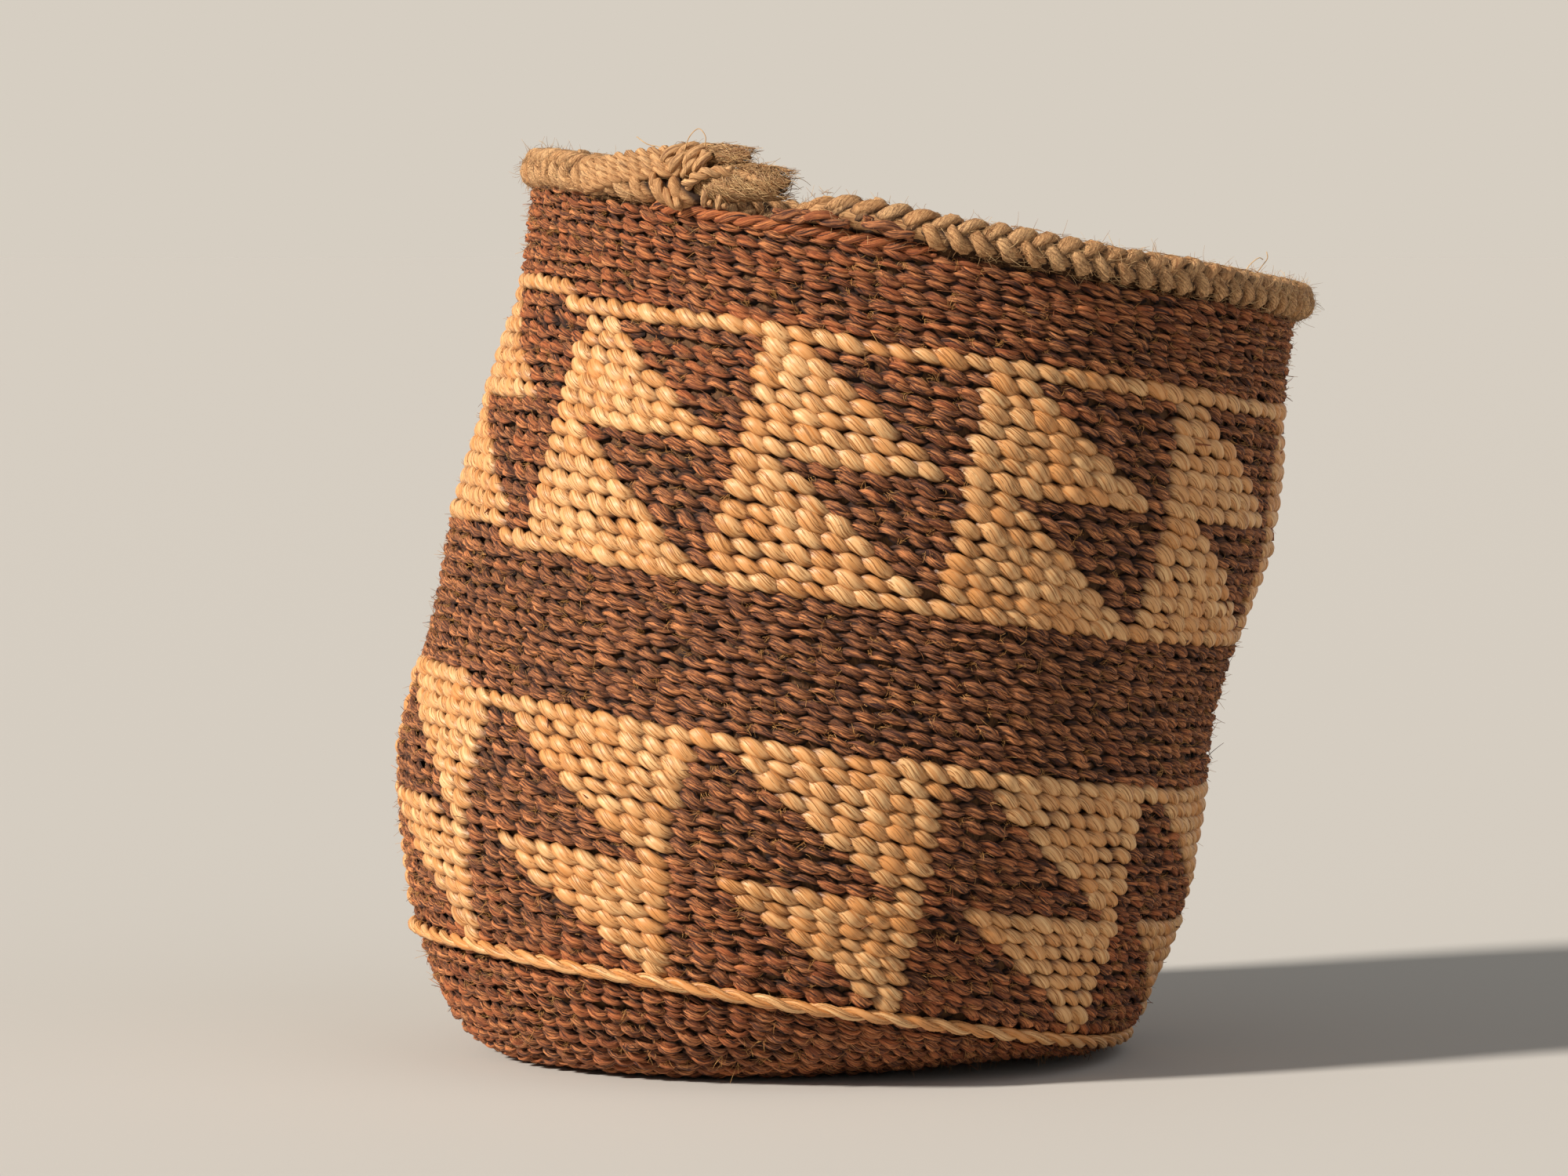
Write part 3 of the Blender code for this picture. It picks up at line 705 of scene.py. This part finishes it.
overlay_angles = np.linspace(-math.pi - 0.05, math.pi + 0.05, 900)
overlay_course = 50.05 + FRONT - (overlay_angles - SEAM) / TURN
overlay_line, overlay_out = in_wall(overlay_course, overlay_angles, 0.45 + 0 * overlay_angles)
overlay_up = sideways(overlay_out, overlay_line)
piece("overlay_cord_plies", [plies(overlay_line, overlay_up, overlay_out, 0.50, 0.68, 9.2)],
      husk, "husk", "overlay_cord")

# %% [markdown]
# ## The rolled rim
# The top is rolled round a jute cord and plaited over with more jute. Seen from the front the
# plait is two rows of lobes that spread like a row of arrow heads: the lower ones turn down to
# the right, the upper ones up. The inside has two more rows, as a round plait has. Where the
# roll starts, right of the knot, bark is wrapped round it in place of the lowest lobes, and a
# thin rope of bark edges the wall there.

# %% Rim line
RIM_RADIUS, RIM_OVERHANG, CLEARANCE = 2.75, 1.4, 0.3
RIM_ROUND, EDGE_ROUND = 62.4, 62.34  # radius in mm of the roll, and of the wall's top edge
LOBE_SPACING = 3.9 / RIM_ROUND


def rim_size(angle):
    share = np.clip((angle - RIM_START) / (RIM_END - RIM_START), 0, 1)
    taper = 0.55 + 0.45 * np.clip((angle - RIM_START) * RIM_ROUND / 5.0, 0, 1)
    thick_start = 0.13 * np.exp(-((angle - RIM_START - 0.17) / 0.16) ** 2)
    return RIM_RADIUS * (1 + 0.12 * share + thick_start) * taper


def rim_frame(angle, rise):
    """A place over the middle of the wall's top edge, with the directions out and up there."""
    centre, radius, right, front = ring(0.0)
    spoke = turned(angle, front, right)
    axis = unit(np.cross(front, right))
    reach = radius - WALL_THICKNESS / 2 + RIM_OVERHANG
    return centre + reach * spoke + rise[..., None] * axis, spoke, axis + 0 * spoke


def rim_lobes(first_turn, last_turn, phase, more=0.0):
    """A row of two-ply lobes that cross the rim from one place round its section to another."""
    starts = np.arange(RIM_START + LOBE_SPACING * phase, RIM_END + LOBE_SPACING * (more - 0.7), LOBE_SPACING)
    starts = starts + chance.normal(0, 0.05, len(starts)) * LOBE_SPACING
    s = np.linspace(-0.12, 1.12, 10)[None]
    along = starts[:, None] + LOBE_SPACING * 1.25 * s
    size = rim_size(starts)[:, None]
    centre, spoke, axis = rim_frame(along, CLEARANCE + rim_size(along) + 0.1 * np.sin(9 * along))
    turn = np.radians(first_turn + (last_turn - first_turn) * s)
    out = turned(turn, spoke, axis)
    uneven = 1 + 0.05 * chance.normal(0, 1, (len(starts), 1))
    reach = size * (0.38 + 0.34 * np.sin(np.pi * np.clip(s, 0, 1)) ** 0.7) * uneven
    full = size / RIM_RADIUS * (0.42 + 0.58 * np.sin(np.pi * np.clip((s + 0.12) / 1.24, 0, 1)) ** 0.7)
    batches = []
    for ply in (0, 1):
        line = centre + reach[..., None] * out
        side = sideways(out, line)
        roll = math.pi * ply + 2.6 * s + 0.5
        aside = np.cos(roll)[..., None] * side + 0.4 * np.sin(roll)[..., None] * out
        line = line + 0.68 * full[..., None] * aside
        batches.append(skin(line, out, 1.06 * full, full, 12, twist=0.8, lumps=0.1, pleats=0.07,
                            lift=reach - size + 0.27 * full * np.sin(roll)))
    return batches, starts


# %% The plait and its filling
rim_angles = np.linspace(RIM_START + 0.01, RIM_END, 260)
roll_size = rim_size(rim_angles)
roll_line, roll_out, roll_up = rim_frame(rim_angles, CLEARANCE + roll_size)
low_front, low_starts = rim_lobes(28, -80, 0.2, more=1.9)
barky = low_starts < math.radians(-3)
other_rows = rim_lobes(0, 112, 0.7)[0] + rim_lobes(152, 260, -0.7)[0] + rim_lobes(180, 68, -0.2)[0]
full = 0.70 * roll_size * np.clip((rim_angles - RIM_START) * 31, 0.1, 1) ** 0.5
filling = skin(roll_line[None], roll_out[None], full, full, 12, lift=-0.3 * roll_size[None])
in_pieces("rim_plait", [chosen(b, ~barky) for b in low_front] + other_rows + [filling],
          jute, "jute", "rim_binding")

# %% Bark at the roll's start
BARK_LOBES = ((-22.0, -16.6, -4, -22), (-17.6, -10.6, -14, -36), (-8.8, -1.6, -10, -38))
bark_wraps = []
for first, last, top, bottom in BARK_LOBES:  # degrees round the bag, then round the roll
    part = np.linspace(0, 1, 24)
    along = np.radians(first + (last - first) * part)
    turn = np.radians(top + (bottom - top) * part)
    size = rim_size(along)
    middle, spoke, axis = rim_frame(along, CLEARANCE + size)
    out = turned(turn, spoke, axis)
    up = sideways(out, middle + out)
    plump = 0.78 * (0.45 + 0.55 * np.sin(np.pi * part) ** 0.6)
    bark_wraps.append(plies(middle + size[:, None] * 0.78 * out, up, out, 0.52, plump, -8.0, twist=-0.6))
edge_angles = np.radians(np.linspace(-43.0, 2.0, 136))
edge_line, edge_out, edge_up = rim_frame(edge_angles, 0.1 + 0 * edge_angles)
edge_plump = 0.68 * np.interp(edge_angles, np.radians([-43.0, -41, -1, 2]), [0.4, 1, 1, 0.4])
bark_wraps.append(plies(edge_line + 0.3 * edge_out, edge_up, edge_out, 0.50, edge_plump, -6.8, twist=-0.6))
piece("rim_bark_wraps", bark_wraps, bark, "bark", "rim_binding")

# %% [markdown]
# ## The knot
# The two ends of the rim meet at the front left. The core comes up out of the roll, three turns
# of cord hold it, and its cut end points right. Below it the binding's own end is frayed into
# a thick brush, and a short end hangs in front. Every cord here is laid through a few places
# beside the roll's end, given in mm along it, out of it and over it.

# %% Knot lines
KNOT_REACH, KNOT_RISE, KNOT_LENGTH, KNOT_CLIMB = 3.2, 3.6, 7.0, 0.9


def over_rim(reach, rise):
    """A place this far along from the roll's end and this far over its middle line."""
    return rim_frame(RIM_END + reach / EDGE_ROUND, CLEARANCE + RIM_RADIUS * 1.12 + rise)


def beside_rim(knots):
    """Places along the roll from its end, out of its middle line and over it."""
    reach, out, rise = np.transpose(knots)
    middle, spoke, _ = over_rim(reach, rise)
    return middle + out[:, None] * spoke


def smooth_line(knots, count):
    """A smooth line that goes through all of a few places."""
    padded = np.concatenate([2 * knots[:1] - knots[1:2], knots, 2 * knots[-1:] - knots[-2:-1]])
    where = np.linspace(0, len(knots) - 1 - 1e-6, count)
    i, t = where.astype(int), (where % 1)[:, None]
    a, b, c, d = (padded[i + k] for k in range(4))
    square, cube = 2 * a - 5 * b + 4 * c - d, 3 * b - a - 3 * c + d
    return 0.5 * (2 * b + (c - a) * t + square * t**2 + cube * t**3)


def two_ply(knots, radius, count, lay=5.0):
    """A two-ply cord along a line through a few places."""
    line = smooth_line(knots, count)
    up = unit(np.array([0.1, -0.2, 1.0]))
    out = unit(np.cross(unit(np.gradient(line, axis=0)), up))
    up = sideways(out, line)
    return plies(line, up, out, radius * 0.48, radius * 0.58, lay, around=8)


# %% [markdown]
# ### Hairs and brushes
# Jute and bark are hairy. A hair is a strand with three sides that starts inside its cord and
# bends at random. A cut cord opens into a brush: soft yarns with hairs laid over them.

# %% Hairs and brushes


def hairs(starts, ways, lengths, bend, thick):
    """Fine curved fibres from their starts (n, 3), along ways (n, 3), bending at random."""
    n = len(starts)
    s = np.linspace(0, 1, 6)[None, :, None]
    curl = chance.normal(0, 1, (2, n, 1, 3)) * bend
    way = ways[:, None] * s + curl[0] * s**2 + curl[1] * s * (1 - s) * s
    line = starts[:, None] + lengths[:, None, None] * way
    line[..., 2] = np.maximum(line[..., 2], 0.15)  # a low hair lies down on the floor
    taper = 1 - 0.6 * s[..., 0]
    out = np.broadcast_to(unit(np.cross(ways, np.array([0.3, 0.5, 0.8])))[:, None], line.shape)
    return skin(line, out, thick * taper * (0.7 + 0.6 * chance.random((n, 1))), thick * taper, 3, lumps=0)


def along_line(line, where):
    """Places at these shares of a line's points."""
    return np.stack([np.interp(where, np.linspace(0, 1, len(line)), line[:, k]) for k in range(3)], 1)


def laid_hairs(cord, count, longest, slant, spread, lift, thick):
    """Hairs that lie round a cord at a slant to its length, and lift off at their ends.

    A cord is its line, two directions across it, and its radius at each point of the line."""
    line, out, up, full = cord
    length = np.linalg.norm(np.diff(line, axis=0), axis=1).sum()
    share = np.linspace(0, 1, len(line))
    s = np.linspace(0, 1, 8)[None]
    each = (count, 1)
    angle_on = (slant + chance.normal(0, spread, each) + chance.normal(0, 0.25, each) * s
                + 0.12 * np.sin(5 * s + chance.uniform(0, TURN, each)))
    run = chance.uniform(0.35, 1, each) * longest * s
    end = chance.uniform(0.08, 1 + 0.9 / length, each) + chance.exponential(0.5 / length, each)
    begin = np.maximum(end - run[:, -1:] * math.cos(slant) / length, -0.02)
    where = begin + run * np.cos(angle_on) / length
    held = np.clip(where, 0, 1)
    body = np.interp(held, share, full)
    radius = body * (1 + chance.normal(0, 0.03, each) + chance.exponential(lift, each) * s**2)
    turn = chance.uniform(0, TURN, each) + run * np.sin(angle_on) / body
    middle, out, up = (along_line(way, held.ravel()).reshape(count, -1, 3) for way in (line, out, up))
    spoke = turned(turn, out, up)
    middle = middle + ((where - held) * length)[..., None] * unit(line[-1] - line[-2])
    taper = (1 - 0.5 * s) * chance.uniform(0.7, 1.2, each) * thick
    return skin(middle + radius[..., None] * spoke, spoke, taper, taper, 3, lumps=0)


def yarns_in(cord, count, lay):
    """The soft yarns that a cut cord opens into."""
    line, out, up, full = cord
    share = np.linspace(0, 1, len(line))
    yarns = []
    for k in range(count):
        reach = (0.30 if k % 2 else 0.58) * full
        turn = TURN * k / count + TURN * lay * share + 0.3 * np.sin(5 * share + k)
        yarn = line + reach[:, None] * turned(turn, out, up)
        yarns.append(along_line(yarn, share * chance.uniform(0.86, 1.0)))
    yarns = np.stack(yarns)
    tip = np.interp(share, [0, 0.8, 0.93, 1], [1, 1, 0.75, 0.3])
    wide = full * tip * chance.uniform(0.34, 0.46, (count, 1))
    # Set half a mm deep, the yarns take the groove colour: painted shade under their hairs.
    return skin(yarns, np.broadcast_to(out, yarns.shape), wide, wide, 10, twist=0.9, lumps=0.14,
                lift=0 * wide - 0.5, pleats=0.08)


# %% The knot's coil
KNOT_TURNS, KNOT_STEPS = 3.1, 130
knot_turn = TURN * np.linspace(0, KNOT_TURNS, KNOT_STEPS)
knot_share = np.linspace(0, 1, KNOT_STEPS)
knot_reach = KNOT_REACH + KNOT_LENGTH * knot_share + 0.55 * np.sin(knot_turn)  # wraps lean to the right
knot_middle, knot_out, knot_up = over_rim(knot_reach, KNOT_RISE + KNOT_CLIMB * knot_share)
knot_line = knot_middle + 2.25 * turned(knot_turn, knot_out, knot_up)
spoke = unit(knot_line - knot_middle)
coil = knot_line, sideways(spoke, knot_line), spoke
piece("knot_coil_plies", [plies(*coil, 0.50, 0.70, 6.4)], jute, "jute", "knot_coil")
coil = *coil, np.full(KNOT_STEPS, 1.10)
whole_knot = knot_middle, knot_out, knot_up, np.full(KNOT_STEPS, 3.2)
piece("knot_fuzz", [laid_hairs(coil, 90, 3.4, slant=0.3, spread=0.3, lift=0.30, thick=0.045),
                    laid_hairs(whole_knot, 30, 3.5, slant=0.9, spread=1.2, lift=0.14, thick=0.045)],
      loose_fibre, "jute", "knot_coil")

# %% The core and its cut end
core_angles = np.linspace(RIM_START + 0.2, RIM_END - 0.25, 60)
core_round = rim_frame(core_angles, CLEARANCE + rim_size(core_angles))[0]
core_up = beside_rim(((-9.0, 0, 0.0), (-3.0, 0, 0.4), (1.9, 0, 2.2),
                      (3.4, 0, 3.5), (6.5, 0, 4.6), (9.6, 0, 5.5)))
share = np.linspace(0, 1, 16)
cut_end = (*over_rim(8.6 + 8.4 * share, 5.5 + 1.5 * share - 0.5 * share**2),
           np.interp(share, [0, 0.4, 0.8, 1], [1.6, 1.6, 1.35, 1.2]))
core = np.concatenate([core_round, core_up])
piece("rim_core_cord", [two_ply(core, 1.25, 700), yarns_in(cut_end, 6, lay=0.2)],
      jute, "jute", "rim_core")
piece("rim_core_hairs", [laid_hairs(cut_end, 420, 4.6, slant=-0.12, spread=0.14, lift=0.10, thick=0.06)],
      loose_fibre, "jute", "rim_core")

# %% Strands that sweep up into the knot
SWEEP = ((-15.5, 2.5, 0.4), (-10.5, 2.7, 1.9), (-6.0, 2.3, 3.2), (-1.5, 1.8, 4.3), (2.6, 1.3, 5.2))
SHORT_STRANDS = (
    ((8.0, 2.6, 0.4), (10.0, 3.3, 1.8), (12.2, 3.2, 3.0), (15.5, 2.4, 3.6)),  # across the tail
    ((10.0, 1.0, 2.0), (11.0, 1.5, 0.0), (11.6, 1.2, -2.0)),
    ((12.4, 0.8, 2.0), (13.4, 1.2, 0.0), (14.0, 0.9, -2.0)),
    ((-6.0, -2.3, -1.3), (-1.0, -2.5, -1.5), (4.0, -2.0, -1.3), (9.0, -1.2, -0.6)),  # inside the bag
    ((-5.0, -2.3, 0.6), (0.0, -2.5, 0.5), (4.5, -2.3, 0.7), (9.5, -1.3, 1.0)),
)
sweeping = []
for k in range(4):
    places = [(reach + 0.7 * k, out + 0.15 * k, rise - 0.95 * k) for reach, out, rise in SWEEP]
    sweeping.append(two_ply(beside_rim(places), 1.05, 60, lay=4.6))
sweeping += [two_ply(beside_rim(strand), 0.95, 40, lay=4.4) for strand in SHORT_STRANDS]
piece("rim_sweep_plies", sweeping, jute, "jute", "rim_binding")
stub = beside_rim(((1.4, 2.6, 0.9), (3.4, 3.1, -0.5), (5.6, 3.1, -1.9), (7.8, 2.8, -2.9)))
piece("rim_stub_plies", [two_ply(stub, 1.05, 30, lay=4.5)], jute, "jute", "rim_stub")

# %% Frayed tail
share = np.linspace(0, 1, 30)
tail_full = np.interp(share, [0, 0.15, 0.4, 0.8, 1], [1.8, 2.5, 2.8, 2.6, 2.2])
tail_place = over_rim(9.4 + 14.6 * share, 0.9 + 3.4 * share - 1.2 * share**2)
tail, over_tail = (*tail_place, tail_full), (*tail_place, 1.03 * tail_full)
piece("frayed_tail_brush", [yarns_in(tail, 11, lay=-0.55)], jute, "jute", "frayed_tail")
piece("frayed_tail_hairs", [laid_hairs(tail, 1100, 6.5, slant=-0.50, spread=0.16, lift=0.07, thick=0.065),
                            laid_hairs(over_tail, 160, 4.0, slant=0.2, spread=0.9, lift=0.10, thick=0.05)],
      loose_fibre, "jute", "frayed_tail")

# %% Four long stray fibres
STRAYS = (
    ((6.2, 2.0, 5.6), (6.9, 2.2, 7.9), (8.4, 2.3, 9.3), (9.8, 2.2, 8.3), (9.9, 2.1, 6.8)),
    ((3.0, 1.0, 4.4), (0.5, 1.2, 5.6), (-2.0, 1.4, 5.8), (-4.6, 1.5, 6.7)),
    ((108.0, -0.6, 2.4), (108.8, -0.3, 3.8), (110.2, 0.2, 5.0), (111.6, 0.3, 4.9)),
    ((109.6, 0.5, 2.4), (110.8, 0.8, 4.0), (112.0, 0.8, 5.2), (112.6, 0.2, 6.2)),
)
strays = []
for stray in STRAYS:
    fibre = smooth_line(beside_rim(stray), 24)[None]
    out = np.broadcast_to(np.array([0.1, -1.0, 0.2]), fibre.shape)
    strays.append(skin(fibre, out, 0.075, 0.075, 4, lumps=0))
piece("stray_fibres", strays, loose_fibre, "jute", "rim_binding")

# %% [markdown]
# ### Fuzz on the rim and splinters in the wall
# Short hairs stand off the plait, and finer ones lie along it. Splinters lie on the dark
# stitches, golden tufts of warp fibre come out where a stitch goes in, and here and there a
# dark sliver shows between two pale stitches. Each is a hair of its own, because no bump can
# break the outline of a strand.

# %% Fuzz and splinters


def rim_fuzz(count):
    where = chance.uniform(RIM_START, RIM_END, count)
    turn = chance.uniform(-1.5, 4.6, count)
    size = rim_size(where)
    centre, spoke, axis = rim_frame(where, CLEARANCE + size)
    out = turned(turn, spoke, axis)
    way = unit(0.35 * out + chance.normal(0, 0.6, (count, 3)))
    return hairs(centre + 0.98 * size[:, None] * out, way, chance.uniform(0.6, 2.2, count), 0.35, 0.045)


def wall_hairs(keep, longest, thick, proud_by, stray, lift_off=0.1):
    """One hair at each kept stitch, lying along it or straying off it."""
    keep = np.flatnonzero(keep)
    n = len(keep)
    level = course[keep] + chance.uniform(-0.45, 0.45, n)
    along = angle[keep] + pitch[keep] * chance.uniform(-0.5, 0.5, n)
    start, facing = in_wall(level, along, np.full(n, proud_by))
    ahead, _ = in_wall(level + 0.12, along + 0.02, np.full(n, proud_by))
    way = unit(ahead - start) * chance.choice([-1, 1], n)[:, None] + chance.normal(0, stray, (n, 3))
    return hairs(start, unit(way + lift_off * facing), chance.uniform(0.3, 1, n) * longest, 0.3, thick)


def tufts(keep, each):
    """Small bunches of warp fibre that come out where a stitch goes in."""
    keep = np.repeat(np.flatnonzero(keep), each)
    n = len(keep)
    bunch = chance.normal(0, 1, (n // each, 5)).repeat(each, axis=0)
    level = course[keep] + np.where(bunch[:, 0] > 0, 0.42, -0.42) + chance.normal(0, 0.09, n)
    along = angle[keep] + pitch[keep] * (0.5 + 0.06 * bunch[:, 1] + chance.normal(0, 0.09, n))
    start, facing = in_wall(level, along, np.full(n, -1.1))
    way = unit(0.6 * facing + 0.6 * unit(bunch[:, 2:]) + chance.normal(0, 0.16, (n, 3)))
    return hairs(start, way, chance.uniform(0.7, 1.7, n), 0.4, 0.052)


dark = ~pale & (number < 57)  # on the wall and the heel, not on the base
lucky = chance.random(len(stitches))
splinters = [wall_hairs(dark, 3.0, 0.09, -0.42, 0.15, lift_off=0.0),
             wall_hairs(dark, 2.2, 0.055, -0.32, 0.22, lift_off=0.0)]
in_pieces("bark_splinters", splinters, bark, "bark", "top_courses")
warp_fibres = [tufts(dark & (lucky > 0.45), 8), wall_hairs(dark & (lucky > 0.7), 2.2, 0.06, -0.60, 0.45)]
in_pieces("warp_tufts", warp_fibres, warp_hair, "warp", "warp_cord_01")
in_pieces("bark_slivers", [wall_hairs(pale & (number < 50) & (lucky < 0.28), 3.2, 0.26, -0.95, 0.12)],
          bark, "bark", "lower_band_high")
in_pieces("rim_fuzz", [rim_fuzz(3400)], loose_fibre, "jute", "rim_binding")
plait = roll_line, roll_out, roll_up, 1.06 * roll_size
in_pieces("rim_laid_fibres", [laid_hairs(plait, 1500, 4.5, slant, spread=0.4, lift=0.05, thick=0.05)
                              for slant in (-0.6, 0.5)], loose_fibre, "jute", "rim_binding")

# %% [markdown]
# ## The start of the base
# The very middle is a knot of the first warps, with a few small stitches round it.

# %% Hub


def hub_stitches():
    batches = []
    s = np.linspace(-0.15, 1.15, 8)[None]
    for turn, count in ((74, 8), (75, 4)):
        share = ((np.arange(count) + 0.5) / count)[:, None]
        for face in (1, -1):
            around = SEAM + TURN * (share + (s - 0.5) / count)
            level = np.clip(turn + 0.6 - share - face * 0.2 * np.cos(np.pi * s), 73.5, 75.9)
            lift = -1.75 + np.sin(np.pi * s) + 0 * level
            depth = lift if face > 0 else -WALL_THICKNESS - lift
            facing = outward(level, around)
            line = wall(level, around) + facing * depth[..., None]
            full = 0.5 + 0.5 * np.sin(np.pi * np.clip((s + 0.15) / 1.3, 0, 1)) + 0 * level
            batches.append(skin(line, face * facing, full, 0.8 * full, 8, twist=0.9, lumps=0.1))
    return batches


piece("base_start_stitches", hub_stitches(), bark, "bark", "base_hub")

# %% [markdown]
# ## The light and the floor
# Soft studio light: a far key light at the left, as the sun is in the photograph, a wide weak
# one at the right, and an even pale surround. Far lights are even all over the floor, a wide
# flat sheet, so no view has a hot spot. The camera sees the surround in the tone that the lit
# floor has, so that there is no horizon.

# %% Lamps


def far_lamp(name, place, spread, strength, colour):
    light = bpy.data.lights.new(name, "SUN")
    light.angle, light.energy, light.color = spread, strength, linear(colour)[:3]
    thing = put(name, light)
    thing.location = place
    thing.rotation_euler = (-thing.location).to_track_quat("-Z", "Y").to_euler()


far_lamp("key_lamp", (-1.80, -1.04, 1.20), math.radians(7), 5.1, "FFF4E8")
far_lamp("fill_lamp", (1.6, -1.2, 1.4), math.radians(60), 0.35, "F7F7FF")
world = bpy.data.worlds.new("studio_surround")
world.use_nodes = True
tree = world.node_tree
lit = tree.nodes["Background"]
lit.inputs["Color"].default_value = linear("F1EFEA")
lit.inputs["Strength"].default_value = 0.24
seen = add(tree, "Background", {"Color": linear("D6CEC2")})
ray = add(tree, "LightPath")
mirrored = add(tree, "Math", {0: ray.outputs["Is Glossy Ray"], 1: ray.outputs["Is Transmission Ray"]},
               operation="ADD")
shown = add(tree, "Math", {0: ray.outputs["Is Camera Ray"], 1: mirrored.outputs[0]},
            operation="ADD", use_clamp=True)
both = add(tree, "MixShader", {"Fac": shown.outputs[0], 1: lit.outputs[0], 2: seen.outputs[0]})
tree.links.new(both.outputs[0], tree.nodes["World Output"].inputs["Surface"])
bpy.context.scene.world = world

# %% Floor
FLOOR_RADIUS, FLOOR_SIDES = 14, 96
turns = TURN * np.arange(FLOOR_SIDES) / FLOOR_SIDES
points = [(FLOOR_RADIUS * math.cos(t), FLOOR_RADIUS * math.sin(t), 0) for t in turns]
sheet = bpy.data.meshes.new("floor")
sheet.from_pydata(points, [], [tuple(range(FLOOR_SIDES))])
floor = put("floor", sheet)
floor.location.z = -0.25 * MM
paper, _, shader = new_finish("pale_paper", 0.9)
shader.inputs["Base Color"].default_value = linear("CAC9C5")
sheet.materials.append(paper)

# %% [markdown]
# ## Settings
# Standard shows the colours as they are written.

# %% Finish
bpy.context.scene.view_settings.view_transform = "Standard"
print("pieces:", len(made), "faces:", sum(made.values()), "most:", max(made.values()))
